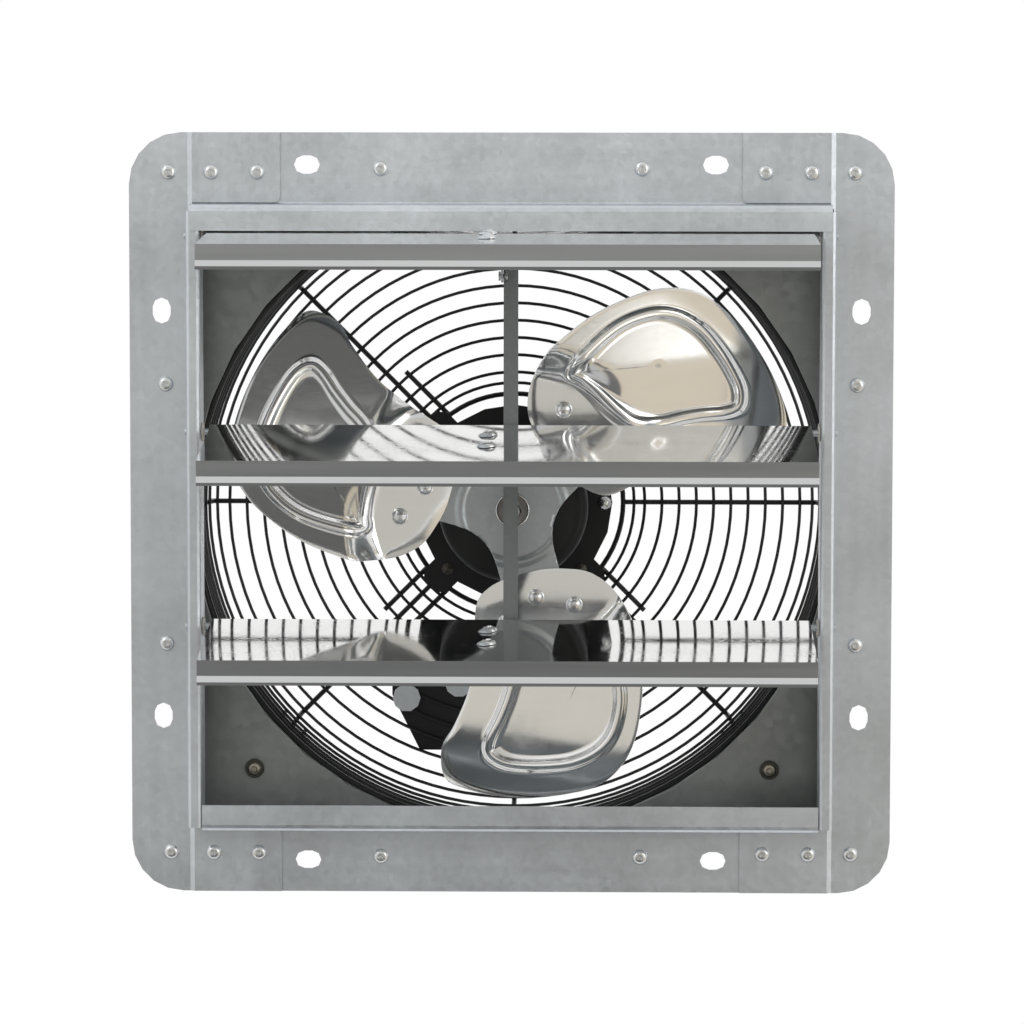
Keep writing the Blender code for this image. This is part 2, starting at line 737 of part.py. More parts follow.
def make_bushes(fan):
    bore = PIVOT_PIN_RADIUS + RUNNING_CLEARANCE
    barrel = bore + BUSH_WALL
    seat = RIM_INNER - GAP
    profile = [(barrel, seat + BUSH_LENGTH), (barrel, seat), (BUSH_FLANGE_RADIUS, seat),
               (BUSH_FLANGE_RADIUS, seat - BUSH_FLANGE_THICKNESS),
               (bore, seat - BUSH_FLANGE_THICKNESS), (bore, seat + BUSH_LENGTH)]
    for name, height in zip(SHUTTER_NAMES, pivot_heights()):
        for side, angle in (("right", 0), ("left", 180)):
            turn = Matrix.Rotation(math.radians(angle), 4, "Z")
            bush = moved(along_x(turned(profile, BOLT_STEPS, closed=True)), turn)
            fan.add("pivot_bush_" + name + "_" + side, shifted(bush, y=PIVOT_Y, z=height), PALE_NYLON)


def sleeve_flange_outlines():
    """Flange strips of the sleeve: full height at the sides, short above and below."""
    half = SLEEVE_FLANGE_SIZE / 2
    reach = TAB_END - TAB_CLEARANCE
    root = SLEEVE_HALF - SLEEVE_SHEET / 2
    upright = rectangle(root, half, -half, half)
    level = rectangle(-reach, reach, root, half)
    return [upright, [(-x, z) for x, z in upright], level, [(x, -z) for x, z in level]]


def make_sleeve(fan):
    outside = rectangle(-SLEEVE_HALF, SLEEVE_HALF, -SLEEVE_HALF, SLEEVE_HALF, SLEEVE_CORNER_RADIUS,
                        BEND_STEPS)
    inner = SLEEVE_HALF - SLEEVE_SHEET
    inside = rectangle(-inner, inner, -inner, inner, SLEEVE_CORNER_RADIUS - SLEEVE_SHEET, BEND_STEPS)
    tube = front_plate([outside, inside], -SLEEVE_SHEET / 2, PANEL_BACK)
    part = fan.add("wall_sleeve", tube, GALVANISED)
    strips = [front_plate([outline], -SLEEVE_SHEET, 0.0) for outline in sleeve_flange_outlines()]
    fan.shape(part, "UNION", joined(strips))
    holes = slot_outlines() + rivet_holes(mid_rivet_places() + corner_rivet_places())
    cutters = [front_plate([outline], -OVERRUN, OVERRUN) for outline in holes]
    fan.shape(part, "DIFFERENCE", joined(cutters))


def guard_bolt_places():
    return [(x, FAN_AXIS_HEIGHT + z) for x, z in both_signs(FOOT_BOLT, FOOT_BOLT)]


def make_panel(fan):
    """A shallow tray with the fan's orifice, set inside the sleeve's rear edge."""
    front = PANEL_DEPTH - PANEL_RIM
    radius = SLEEVE_CORNER_RADIUS - SLEEVE_SHEET
    edge = rectangle(-PANEL_HALF, PANEL_HALF, -PANEL_HALF, PANEL_HALF, radius, BEND_STEPS)
    part = fan.add("orifice_panel", front_plate([edge], front, PANEL_BACK), DARK_PANEL)
    inner = PANEL_HALF - PANEL_SHEET
    inside = rectangle(-inner, inner, -inner, inner, radius - PANEL_SHEET, BEND_STEPS)
    fan.shape(part, "DIFFERENCE", front_plate([inside], front - OVERRUN, PANEL_DEPTH))

    centre = (0.0, FAN_AXIS_HEIGHT)
    lip = circle(centre, ORIFICE_RADIUS + PANEL_SHEET, ORIFICE_STEPS)
    collar = front_plate([lip], PANEL_DEPTH + PANEL_SHEET / 2, PANEL_DEPTH + ORIFICE_COLLAR)
    fan.shape(part, "UNION", collar)
    bolts = [circle(place, BOLT_RADIUS + GAP, BOLT_STEPS) for place in guard_bolt_places()]
    holes = [front_plate([outline], PANEL_DEPTH - OVERRUN, PANEL_DEPTH + ORIFICE_COLLAR + OVERRUN)
             for outline in bolts + [circle(centre, ORIFICE_RADIUS, ORIFICE_STEPS)]]
    fan.shape(part, "DIFFERENCE", joined(holes))


def guard_wall(share):
    """Radius and depth of the guard's side, from its back corner at 0 to its base at 1."""
    bulge = math.sqrt(1 - (1 - share) ** 2)
    radius = GUARD_RADIUS + (GUARD_BASE_RADIUS - GUARD_RADIUS) * bulge
    depth = GUARD_DEPTH + (GUARD_BASE_DEPTH - GUARD_DEPTH) * share
    return radius, depth


def guard_ring(radius, depth, thickness, steps):
    points = [(x, depth, FAN_AXIS_HEIGHT + z) for x, z in circle((0.0, 0.0), radius, steps)]
    return wire(points, thickness, cyclic=True)


def side_spoke_path():
    """A spoke from under the end of a back spoke, forward over the side rings to the base ring."""
    stand_off = RING_WIRE + HEAVY_WIRE - WELD
    base = GUARD_BASE_RADIUS + BASE_WIRE + HEAVY_WIRE - WELD
    points = [guard_wall(step / (SIDE_RINGS + 1)) for step in (1, 2, 4, SIDE_RINGS)]
    points = [(radius + stand_off, depth) for radius, depth in points]
    end = (GUARD_RADIUS + RING_WIRE + HEAVY_WIRE + GAP, SPOKE_DEPTH - HEAVY_WIRE - GAP)
    elbow = (end[0], end[1] - HEAVY_WIRE)
    foot = (base, GUARD_BASE_DEPTH - BASE_WIRE)
    return [(radius, depth, 0.0) for radius, depth in [end, elbow] + points + [foot]]


def spoke_matrices():
    return [on_fan_axis() @ turn_about_fan(360 / SPOKES * index) for index in range(SPOKES)]


def back_spokes():
    """Straight spokes of the guard's back, and the short arms beside each diagonal."""
    spokes = []
    reach = GUARD_RADIUS + RING_WIRE + 2 * HEAVY_WIRE + GAP
    for index, place in enumerate(spoke_matrices()):
        diagonal = index % 2 == 1
        start = LUG_RADIUS + GAP if diagonal else HUB_RING_RADIUS - HEAVY_WIRE
        line = [(start, SPOKE_DEPTH, 0.0), (reach, SPOKE_DEPTH, 0.0)]
        spokes.append(moved(wire(line, HEAVY_WIRE), place))
        if not diagonal:
            continue
        inner = LUG_RADIUS - HUB_RING_PITCH
        for side in (-ARM_OFFSET, ARM_OFFSET):
            arm = [(inner, SPOKE_DEPTH, side), (inner + ARM_LENGTH, SPOKE_DEPTH, side)]
            spokes.append(moved(wire(arm, HEAVY_WIRE), place))
    return joined(spokes)


def make_guard_back(fan):
    rings = [guard_ring(HUB_RING_RADIUS + HUB_RING_PITCH * index, GUARD_DEPTH, HEAVY_WIRE, HUB_RING_STEPS)
             for index in range(2)]
    for index in range(FLAT_RINGS):
        steps = HUB_RING_STEPS if index < SMALL_RINGS else BACK_RING_STEPS
        rings.append(guard_ring(FIRST_RING_RADIUS + RING_PITCH * index, GUARD_DEPTH, RING_WIRE, steps))
    rings.append(guard_ring(GUARD_RADIUS, GUARD_DEPTH, RING_WIRE, BACK_RING_STEPS))
    part = fan.add("guard_back", joined(rings), BLACK_WIRE)
    fan.shape(part, "UNION", back_spokes())


def make_guard_side(fan):
    rings = [guard_ring(*guard_wall((index + 1) / (SIDE_RINGS + 1)), RING_WIRE, SIDE_RING_STEPS)
             for index in range(SIDE_RINGS)]
    rings.append(guard_ring(GUARD_BASE_RADIUS, GUARD_BASE_DEPTH, BASE_WIRE, SIDE_RING_STEPS))
    part = fan.add("guard_side", joined(rings), BLACK_WIRE)
    spokes = copies(wire(side_spoke_path(), HEAVY_WIRE), spoke_matrices())
    feet = copies(wire(foot_path(), HEAVY_WIRE), diagonal_matrices())
    fan.shape(part, "UNION", joined([spokes, feet]))


def foot_path():
    """U-shaped foot wire: down the guard's side, out along the panel and round its bolt."""
    half = FOOT_WIDTH / 2
    stand_off = RING_WIRE + HEAVY_WIRE - FOOT_WELD
    top_radius, top_depth = guard_wall(2 / (SIDE_RINGS + 1))
    base = GUARD_BASE_RADIUS + BASE_WIRE + HEAVY_WIRE - FOOT_WELD
    reach = math.hypot(FOOT_BOLT, FOOT_BOLT)
    leg = [(top_radius + stand_off, top_depth + HEAVY_WIRE), (base, GUARD_BASE_DEPTH + BASE_WIRE),
           (base + BEND_RADIUS, FOOT_DEPTH)]
    rise = [(radius, depth, -half) for radius, depth in leg]
    bend = [(u, FOOT_DEPTH, v) for u, v in arc((reach, 0.0), half, -90, 90, FOOT_BEND_STEPS)]
    fall = [(radius, depth, half) for radius, depth in reversed(leg)]
    return rise + bend + fall


def diagonal_matrices():
    return [on_fan_axis() @ turn_about_fan(45 + 90 * index) for index in range(4)]


def make_guard_bolts(fan):
    """Hexagon bolts from the front, and nuts with a square washer plate over the guard's feet."""
    seat = PANEL_SHEET + 2 * GAP + 2 * HEAVY_WIRE
    flange = seat + WASHER_THICKNESS
    tail = flange + NUT_HEIGHT + BOLT_END
    profile = [(0.0, GAP + BOLT_HEAD_HEIGHT), (BOLT_HEAD_RADIUS, GAP + BOLT_HEAD_HEIGHT),
               (BOLT_HEAD_RADIUS, GAP), (BOLT_RADIUS, GAP), (BOLT_RADIUS, -tail), (0.0, -tail)]
    bore = BOLT_RADIUS + GAP
    nut = ring_profile(bore, BOLT_HEAD_RADIUS, -flange - NUT_HEIGHT, -flange + WASHER_THICKNESS / 2)
    square = rectangle(-WASHER_PLATE / 2, WASHER_PLATE / 2, -WASHER_PLATE / 2, WASHER_PLATE / 2)
    hole = circle((0.0, 0.0), (bore + BOLT_HEAD_RADIUS) / 2, HEXAGON_SIDES)
    for number, (x, z) in enumerate(guard_bolt_places(), start=1):
        place = facing_front_at(x, PANEL_DEPTH, z)
        bolt = moved(turned(profile, HEXAGON_SIDES), place)
        fan.add("guard_bolt_" + str(number), bolt, ZINC_SCREW)
        plate = moved(flat_plate([square, hole], -flange, -seat, FACING_UP), place)
        part = fan.add("guard_nut_" + str(number), plate, ZINC_SCREW)
        fan.shape(part, "UNION", moved(turned(nut, HEXAGON_SIDES, True), place))


def facing_rear(work):
    """Point a shape that stands on +Z towards the rear and centre it on the fan's axis."""
    return moved(work, on_fan_axis() @ Matrix.Rotation(math.radians(-90), 4, "X"))


def make_motor(fan):
    bearing_bore = BEARING_RADIUS + GAP
    shaft_bore = SHAFT_RADIUS + RUNNING_CLEARANCE
    inner = MOTOR_RADIUS - MOTOR_WALL
    split = COVER_SPLIT
    edge = [(MOTOR_RADIUS - MOTOR_EDGE_RADIUS * (1 - math.cos(math.radians(angle))),
             MOTOR_FRONT + MOTOR_EDGE_RADIUS * (1 - math.sin(math.radians(angle))))
            for angle in (0, 45, 90)]
    front = [(inner, split), (MOTOR_RADIUS, split)] + edge
    front += [(shaft_bore + GAP, MOTOR_FRONT),
              (shaft_bore + GAP, MOTOR_FRONT + MOTOR_WALL), (bearing_bore, MOTOR_FRONT + MOTOR_WALL),
              (bearing_bore, split), (bearing_bore + MOTOR_WALL, split),
              (bearing_bore + MOTOR_WALL, MOTOR_FRONT + MOTOR_WALL), (inner, MOTOR_FRONT + MOTOR_WALL)]
    fan.add("motor_front_cover", facing_rear(turned(front, TURN_STEPS, True)), BLACK_MOTOR)

    shell = ring_profile(inner, MOTOR_RADIUS, split + GAP, PLATE_FRONT - GAP)
    fan.add("motor_shell", facing_rear(turned(shell, TURN_STEPS, True)), BLACK_MOTOR)

    rear_split = PLATE_BACK + GAP
    rear = [(MOTOR_RADIUS, rear_split), (inner, rear_split), (inner, MOTOR_REAR - MOTOR_WALL),
            (bearing_bore + MOTOR_WALL, MOTOR_REAR - MOTOR_WALL),
            (bearing_bore + MOTOR_WALL, MOTOR_REAR - MOTOR_WALL - BEARING_LENGTH),
            (bearing_bore, MOTOR_REAR - MOTOR_WALL - BEARING_LENGTH),
            (bearing_bore, MOTOR_REAR - MOTOR_WALL), (shaft_bore + GAP, MOTOR_REAR - MOTOR_WALL),
            (shaft_bore + GAP, MOTOR_REAR), (MOTOR_RADIUS - MOTOR_EDGE_RADIUS, MOTOR_REAR),
            (MOTOR_RADIUS, MOTOR_REAR - MOTOR_EDGE_RADIUS)]
    fan.add("motor_rear_cover", facing_rear(turned(rear, TURN_STEPS, True)), BLACK_MOTOR)

    bearing = ring_profile(shaft_bore, BEARING_RADIUS, 0.0, BEARING_LENGTH - GAP)
    for name, start in (("front_bearing", MOTOR_FRONT + MOTOR_WALL + GAP),
                        ("rear_bearing", MOTOR_REAR - MOTOR_WALL - BEARING_LENGTH)):
        ring = turned([(radius, height + start) for radius, height in bearing], SHAFT_STEPS, True)
        fan.add(name, facing_rear(ring), STEEL_SHAFT)

    low = STATOR_MID - STATOR_LENGTH / 2
    stator = ring_profile(STATOR_BORE, inner - GAP, low, low + STATOR_LENGTH)
    fan.add("motor_stator", facing_rear(turned(stator, TURN_STEPS, True)), STATOR_STEEL)


def lug_outline():
    """Round motor plate with four square lugs on the diagonals."""
    points = []
    half = LUG_WIDTH / 2
    root = math.degrees(math.asin(half / MOTOR_PLATE_RADIUS))
    for index in range(4):
        middle = 45 + 90 * index
        direction = Vector((math.cos(math.radians(middle)), math.sin(math.radians(middle))))
        across = Vector((-direction.y, direction.x))
        chamfer = half / 2
        for reach, side in ((LUG_RADIUS - chamfer, -half), (LUG_RADIUS, -half + chamfer),
                            (LUG_RADIUS, half - chamfer), (LUG_RADIUS - chamfer, half)):
            points.append(tuple(direction * reach + across * side))
        points += arc((0.0, 0.0), MOTOR_PLATE_RADIUS, middle + root, middle + 90 - root, PLATE_ARC_STEPS)
    return [(x, FAN_AXIS_HEIGHT + z) for x, z in points]


def lug_screw_places():
    reach = LUG_SCREW_RADIUS / math.sqrt(2)
    return [(x, FAN_AXIS_HEIGHT + z) for x, z in both_signs(reach, reach)]


def make_motor_mount(fan):
    centre = (0.0, FAN_AXIS_HEIGHT)
    bore = circle(centre, MOTOR_RADIUS - MOTOR_WALL, TURN_STEPS)
    holes = [circle(place, LUG_SCREW_SHANK + GAP, BOLT_STEPS) for place in lug_screw_places()]
    plate = front_plate([lug_outline(), bore] + holes, PLATE_FRONT, PLATE_BACK)
    fan.add("motor_mount_plate", plate, BLACK_MOTOR)

    clamp_front = GUARD_DEPTH + HEAVY_WIRE + GAP
    clamp_back = clamp_front + CLAMP_THICKNESS
    start = MOTOR_PLATE_RADIUS - LUG_WIDTH / 2
    half = CLAMP_WIDTH / 2
    outline = rectangle(start, LUG_RADIUS, -half, half)
    hole = circle((LUG_SCREW_RADIUS, 0.0), LUG_SCREW_SHANK + GAP, BOLT_STEPS)
    for number, place in enumerate(diagonal_matrices(), start=1):
        clamp = moved(front_plate([outline, hole], clamp_front, clamp_back), place)
        fan.add("guard_clamp_" + str(number), clamp, BLACK_MOTOR)

    reach = clamp_back - PLATE_FRONT + GAP
    profile = [(0.0, GAP + LUG_SCREW_HEAD_HEIGHT), (LUG_SCREW_HEAD, GAP + LUG_SCREW_HEAD_HEIGHT / 2),
               (LUG_SCREW_HEAD, GAP), (LUG_SCREW_SHANK, GAP), (LUG_SCREW_SHANK, -reach), (0.0, -reach)]
    for number, (x, z) in enumerate(lug_screw_places(), start=1):
        screw = moved(turned(profile, BOLT_STEPS), facing_front_at(x, PLATE_FRONT, z))
        fan.add("motor_screw_" + str(number), screw, STEEL_SHAFT)


def make_shaft(fan, carrier):
    rear = MOTOR_REAR + SHAFT_NOSE
    profile = [(0.0, rear), (SHAFT_RADIUS, rear), (SHAFT_RADIUS, SHAFT_FRONT), (0.0, SHAFT_FRONT)]
    fan.add("motor_shaft", facing_rear(turned(profile, SHAFT_STEPS)), STEEL_SHAFT, carrier)
    low = STATOR_MID - ROTOR_LENGTH / 2
    core = ring_profile(SHAFT_RADIUS + GAP, ROTOR_RADIUS, low, low + ROTOR_LENGTH)
    fan.add("motor_rotor", facing_rear(turned(core, TURN_STEPS, True)), STATOR_STEEL, carrier)


def polar(radius, angle):
    return (radius * math.cos(math.radians(angle)), radius * math.sin(math.radians(angle)))


def blade_angles():
    return [FIRST_BLADE_ANGLE + 360 / BLADE_COUNT * index for index in range(BLADE_COUNT)]


def spider_outline():
    """Three arms with hollow sides between them."""
    points = []
    for middle in blade_angles():
        tips = (-SPIDER_ARM_ANGLE, -SPIDER_ARM_ANGLE / 2, 0, SPIDER_ARM_ANGLE / 2, SPIDER_ARM_ANGLE)
        points.append(polar(SPIDER_SHOULDER, middle - SPIDER_ARM_ANGLE))
        points += [polar(SPIDER_REACH, middle + angle) for angle in tips]
        points.append(polar(SPIDER_SHOULDER, middle + SPIDER_ARM_ANGLE))
        gap_middle = middle + 180 / BLADE_COUNT
        waist = (SPIDER_WAIST + SPIDER_SHOULDER) / 2
        hollow = (180 / BLADE_COUNT - SPIDER_ARM_ANGLE) / 2
        points += [polar(waist - GAP, gap_middle - hollow), polar(SPIDER_WAIST, gap_middle - hollow / 3),
                   polar(SPIDER_WAIST, gap_middle + hollow / 3), polar(waist - GAP, gap_middle + hollow)]
    return points


def arm_rivet_places(middle):
    """The rivets of one arm, as points in the fan's own plane."""
    return [polar(BLADE_RIVET_INNER, middle), polar(BLADE_RIVET_OUTER, middle - BLADE_RIVET_ANGLE),
            polar(BLADE_RIVET_OUTER, middle + BLADE_RIVET_ANGLE)]


def make_spider(fan, carrier):
    bore = SHAFT_RADIUS + GAP
    holes = [circle(place, BLADE_RIVET_SHANK + GAP, RIVET_STEPS)
             for angle in blade_angles() for place in arm_rivet_places(angle)]
    mouth = circle((0.0, 0.0), (bore + BOSS_RADIUS) / 2, SHAFT_STEPS)
    plate = front_plate([spider_outline(), mouth] + holes, HUB_DEPTH, HUB_DEPTH + SPIDER_THICKNESS)
    part = fan.add("fan_spider", moved(plate, on_fan_axis()), GALVANISED, carrier)
    boss = ring_profile(bore, BOSS_RADIUS, HUB_DEPTH + GAP, HUB_DEPTH + BOSS_LENGTH)
    fan.shape(part, "UNION", facing_rear(turned(boss, SHAFT_STEPS, True)))
    ribs = []
    for angle in blade_angles():
        half = SPIDER_RIB_WIDTH / 2
        outline = rectangle(SPIDER_RIB_START, SPIDER_RIB_START + SPIDER_RIB_LENGTH, -half, half, half, 2)
        rib = front_plate([outline], HUB_DEPTH - SPIDER_RIB_HEIGHT, HUB_DEPTH + SPIDER_THICKNESS / 2)
        ribs.append(moved(rib, on_fan_axis() @ turn_about_fan(angle)))
    fan.shape(part, "UNION", joined(ribs))


def smooth_share(value, start, end):
    share = min(max((value - start) / (end - start), 0.0), 1.0)
    return share * share * (3 - 2 * share)


def blade_depth(radius, across):
    """Depth of the pitched sheet in front of or behind the arm, by its place on the blade."""
    twist = smooth_share(radius, BLADE_TWIST_START, BLADE_TWIST_END)
    return -math.tan(math.radians(BLADE_PITCH)) * twist * across


def blade_rings():
    """Outline of a blade that points along +X, then the outer toe, crest and inner toe of its rib."""
    centre = Vector((BLADE_RIB_CENTRE, 0.0))
    outline = [Vector(polar(BLADE_REACH * share, angle))
               for angle, share in zip(BLADE_OUTLINE_ANGLES, BLADE_OUTLINE_REACH_SHARES)]
    rings = [[(place, 0.0) for place in outline]]
    toe = BLADE_RIB_TOE_SHARE
    for share, lift in ((1 + toe, 0.0), (1.0, BLADE_RIB_HEIGHT), (1 - toe, 0.0)):
        shrink = Vector((BLADE_RIB_LENGTH_SHARE * share, BLADE_RIB_WIDTH_SHARE * share))
        rings.append([(centre + (place - centre) * shrink, lift) for place in outline])
    return rings


def blade_sheet():
    """The blade's surface between its rings, thickened about its middle."""
    work = bmesh.new()
    rings = []
    for ring in blade_rings():
        rings.append([work.verts.new((place.x, blade_depth(place.length, place.y) - lift, place.y))
                      for place, lift in ring])
    around = range(-len(BLADE_OUTLINE_ANGLES), 0)
    for outer, inner in zip(rings, rings[1:]):
        for index in around:
            work.faces.new((outer[index], outer[index + 1], inner[index + 1], inner[index]))
    middle = work.verts.new((BLADE_RIB_CENTRE, 0.0, 0.0))
    for index in around:
        work.faces.new((rings[-1][index], rings[-1][index + 1], middle))
    mesh = bpy.data.meshes.new("blade")
    work.to_mesh(mesh)
    work.free()
    sheet = bpy.data.objects.new("blade", mesh)
    wall = sheet.modifiers.new("Wall", "SOLIDIFY")
    wall.thickness = BLADE_THICKNESS
    wall.offset = 0.0
    return evaluated_bmesh(sheet)


def blade_rivet():
    """A rivet set through the blade, whose own face is at 0, and the spider behind it."""
    stack = BLADE_THICKNESS + GAP + SPIDER_THICKNESS + GAP
    end = stack + RIVET_HEAD_HEIGHT / 2
    upset = (BLADE_RIVET_HEAD + BLADE_RIVET_SHANK) / 2
    profile = rivet_head(BLADE_RIVET_HEAD, BLADE_RIVET_SHANK, BLADE_THICKNESS)
    profile += [(BLADE_RIVET_SHANK, -stack), (upset, -stack), (0.0, -end)]
    return turned(profile, RIVET_STEPS)


def make_blades(fan, carrier):
    front = HUB_DEPTH - GAP - BLADE_THICKNESS
    middle = front + BLADE_THICKNESS / 2
    for number, angle in enumerate(blade_angles(), start=1):
        place = on_fan_axis() @ turn_about_fan(angle) @ Matrix.Translation((0.0, middle, 0.0))
        part = fan.add("fan_blade_" + str(number), moved(blade_sheet(), place), POLISHED, carrier)
        spots = [facing_front_at(x, front, FAN_AXIS_HEIGHT + z) for x, z in arm_rivet_places(angle)]
        fan.shape(part, "UNION", copies(blade_rivet(), spots))


def make_hub_nut(fan, carrier):
    bore = SHAFT_RADIUS + GAP
    seat = HUB_DEPTH - GAP
    washer = ring_profile(bore, HUB_WASHER_RADIUS, seat - WASHER_THICKNESS, seat)
    fan.add("hub_washer", facing_rear(turned(washer, SHAFT_STEPS, True)), STEEL_SHAFT, carrier)
    back = seat - WASHER_THICKNESS - GAP
    hexagon_bore = bore / math.cos(math.pi / HEXAGON_SIDES)
    nut = turned(ring_profile(hexagon_bore, HUB_NUT_RADIUS, back - HUB_NUT_HEIGHT, back), HEXAGON_SIDES, True)
    fan.add("hub_nut", facing_rear(nut), STEEL_SHAFT, carrier)


def shutter_profile():
    """Side view of a shutter about its pivot: y to the rear, z up."""
    front = SHUTTER_TAIL - SHUTTER_CHORD
    level = SURFACE_RISE
    flare = (front - LIP_FLARE / 2, level - LIP_FACE - LIP_FLARE)
    return [(SHUTTER_TAIL, level), (front + LIP_ROUND, level), (front, level - LIP_ROUND),
            (front, level - LIP_FACE), flare, (flare[0] + LIP_HEM, flare[1] - LIP_HEM / 2)]


def tilted(work, slope, height):
    """Tip a shutter's shape down to the front and put it on its pivot."""
    tip = Matrix.Rotation(math.radians(slope), 4, "X")
    return moved(work, Matrix.Translation((0.0, PIVOT_Y, height)) @ tip)


def make_shutter(fan, name, slope, height, carrier):
    half = SHUTTER_WIDTH / 2
    sheet = folded_sheet(shutter_profile(), -half, half, SHUTTER_SHEET, FACING_SIDE)
    part = fan.add("shutter_" + name, tilted(sheet, slope, height), POLISHED, carrier)
    side = EAR_WIDTH / 2
    outline = rounded([(-side, SURFACE_RISE), (-side, -EAR_DROP), (side - EAR_INSET, -EAR_DROP),
                       (side - EAR_INSET, SURFACE_RISE)], [0, EAR_DROP / 2, EAR_DROP / 2, 0])
    ears = []
    for sign in (-1, 1):
        near, far = sorted((sign * (half - EAR_INSET), sign * (half - EAR_INSET - FRAME_SHEET)))
        ears.append(side_plate([outline], near, far))
    fan.shape(part, "UNION", tilted(joined(ears), slope, height))

    nips = []
    front = SHUTTER_TAIL - SHUTTER_CHORD + LIP_ROUND + GAP
    for sign in (-1, 1):
        corner = [(sign * (half + OVERRUN), front), (sign * (half + GAP), -EAR_WIDTH),
                  (sign * (half - CORNER_NIP), front)]
        nips.append(flat_plate([corner], SURFACE_RISE - LIP_ROUND, SURFACE_RISE + LIP_ROUND, FACING_UP))
    fan.shape(part, "DIFFERENCE", tilted(joined(nips), slope, height))

    foot_hole = rod(RIVET_SHANK_RADIUS + GAP, SURFACE_RISE - LIP_ROUND, SURFACE_RISE + LIP_ROUND,
                    RIVET_STEPS)
    spots = [Matrix.Translation((ARM_RIVET_X, -reach, 0.0))
             for reach in (ARM_RIVET_REAR, ARM_RIVET_FRONT)]
    fan.shape(part, "DIFFERENCE", tilted(copies(foot_hole, spots), slope, height))

    ear_middle = half - EAR_INSET - FRAME_SHEET / 2
    pin_end = ear_middle - FRAME_SHEET / 2 - PIVOT_HEAD_LENGTH
    pin = [(0.0, PIN_TIP), (PIVOT_PIN_RADIUS, PIN_TIP), (PIVOT_PIN_RADIUS, ear_middle),
           (PIVOT_HEAD_RADIUS, ear_middle), (PIVOT_HEAD_RADIUS, pin_end), (0.0, pin_end)]
    turns = [Matrix.Identity(4), Matrix.Rotation(math.radians(180), 4, "Z")]
    fan.shape(part, "UNION", tilted(copies(along_x(turned(pin, BOLT_STEPS)), turns), slope, height))


def make_link_arm(fan, name, slope, height, carrier):
    """Bracket riveted under the shutter, with a tapered arm down to the tie bar's pin."""
    foot_top = SURFACE_RISE - SHUTTER_SHEET / 2 - GAP
    foot_low = foot_top - ARM_SHEET
    foot = box((ARM_FOOT_LEFT, -ARM_FOOT_LENGTH, foot_low), (ARM_FOOT_RIGHT, ARM_FOOT_TAIL, foot_top))
    part = fan.add("link_arm_" + name, tilted(foot, slope, height), GALVANISED, carrier)
    untilt = Matrix.Rotation(math.radians(-slope), 2)
    eye = untilt @ Vector((LINK_BACK, -LINK_DROP))
    taper = [(-ARM_ROOT_LENGTH, foot_low + ARM_SHEET / 2)]
    taper += arc(eye, EYE_RADIUS, 200, 380, EYE_STEPS)
    taper += [(ARM_FOOT_TAIL, foot_low + ARM_SHEET / 2)]
    hole = circle(eye, LINK_PIN_RADIUS + GAP, PIN_HOLE_STEPS)
    plate = side_plate([taper, hole], ARM_FOOT_RIGHT - ARM_SHEET, ARM_FOOT_RIGHT)
    fan.shape(part, "UNION", tilted(plate, slope, height))
    surface_top = SURFACE_RISE + SHUTTER_SHEET / 2 + GAP
    root = surface_top - foot_top + ARM_SHEET / 2
    profile = [(0.0, RIVET_HEAD_HEIGHT),
               (RIVET_HEAD_RADIUS * DOME_SHOULDER_SHARE, RIVET_HEAD_HEIGHT * DOME_SHOULDER_SHARE),
               (RIVET_HEAD_RADIUS, 0.0), (RIVET_SHANK_RADIUS, 0.0), (RIVET_SHANK_RADIUS, -root),
               (0.0, -root)]
    seats = [Matrix.Translation((ARM_RIVET_X, -reach, surface_top))
             for reach in (ARM_RIVET_REAR, ARM_RIVET_FRONT)]
    fan.shape(part, "UNION", tilted(copies(turned(profile, RIVET_STEPS), seats), slope, height))


def make_tie_bar(fan, carrier):
    pin_y = PIVOT_Y + LINK_BACK
    pins = [height - LINK_DROP for height in pivot_heights()]
    left = ARM_FOOT_RIGHT + GAP
    front = pin_y + TIE_BAR_SETBACK
    bar = box((left, front, pins[-1] - TIE_BAR_END),
              (left + TIE_BAR_WIDTH, front + TIE_BAR_SHEET, pins[0] + TIE_BAR_END))
    part = fan.add("tie_bar", bar, GALVANISED, carrier)
    lugs = []
    for height in pins:
        outline = arc((pin_y, height), EYE_RADIUS, 90, 270, EYE_STEPS)
        outline += [(front + TIE_BAR_SHEET / 2, height - EYE_RADIUS),
                    (front + TIE_BAR_SHEET / 2, height + EYE_RADIUS)]
        hole = circle((pin_y, height), LINK_PIN_RADIUS + GAP, PIN_HOLE_STEPS)
        lugs.append(side_plate([outline, hole], left, left + TIE_BAR_SHEET))
    fan.shape(part, "UNION", joined(lugs))

    arm_left = ARM_FOOT_RIGHT - ARM_SHEET - GAP
    lug_right = left + TIE_BAR_SHEET + GAP
    high = lug_right + LINK_PIN_HEAD_LENGTH
    low = arm_left - LINK_PIN_HEAD_LENGTH
    profile = [(0.0, high), (LINK_PIN_HEAD, high), (LINK_PIN_HEAD, lug_right), (LINK_PIN_RADIUS, lug_right),
               (LINK_PIN_RADIUS, arm_left), (LINK_PIN_HEAD, arm_left), (LINK_PIN_HEAD, low), (0.0, low)]
    for name, height in zip(SHUTTER_NAMES, pins):
        pin = along_x(turned(profile, BOLT_STEPS))
        fan.add("link_pin_" + name, shifted(pin, y=pin_y, z=height), STEEL_SHAFT, carrier)


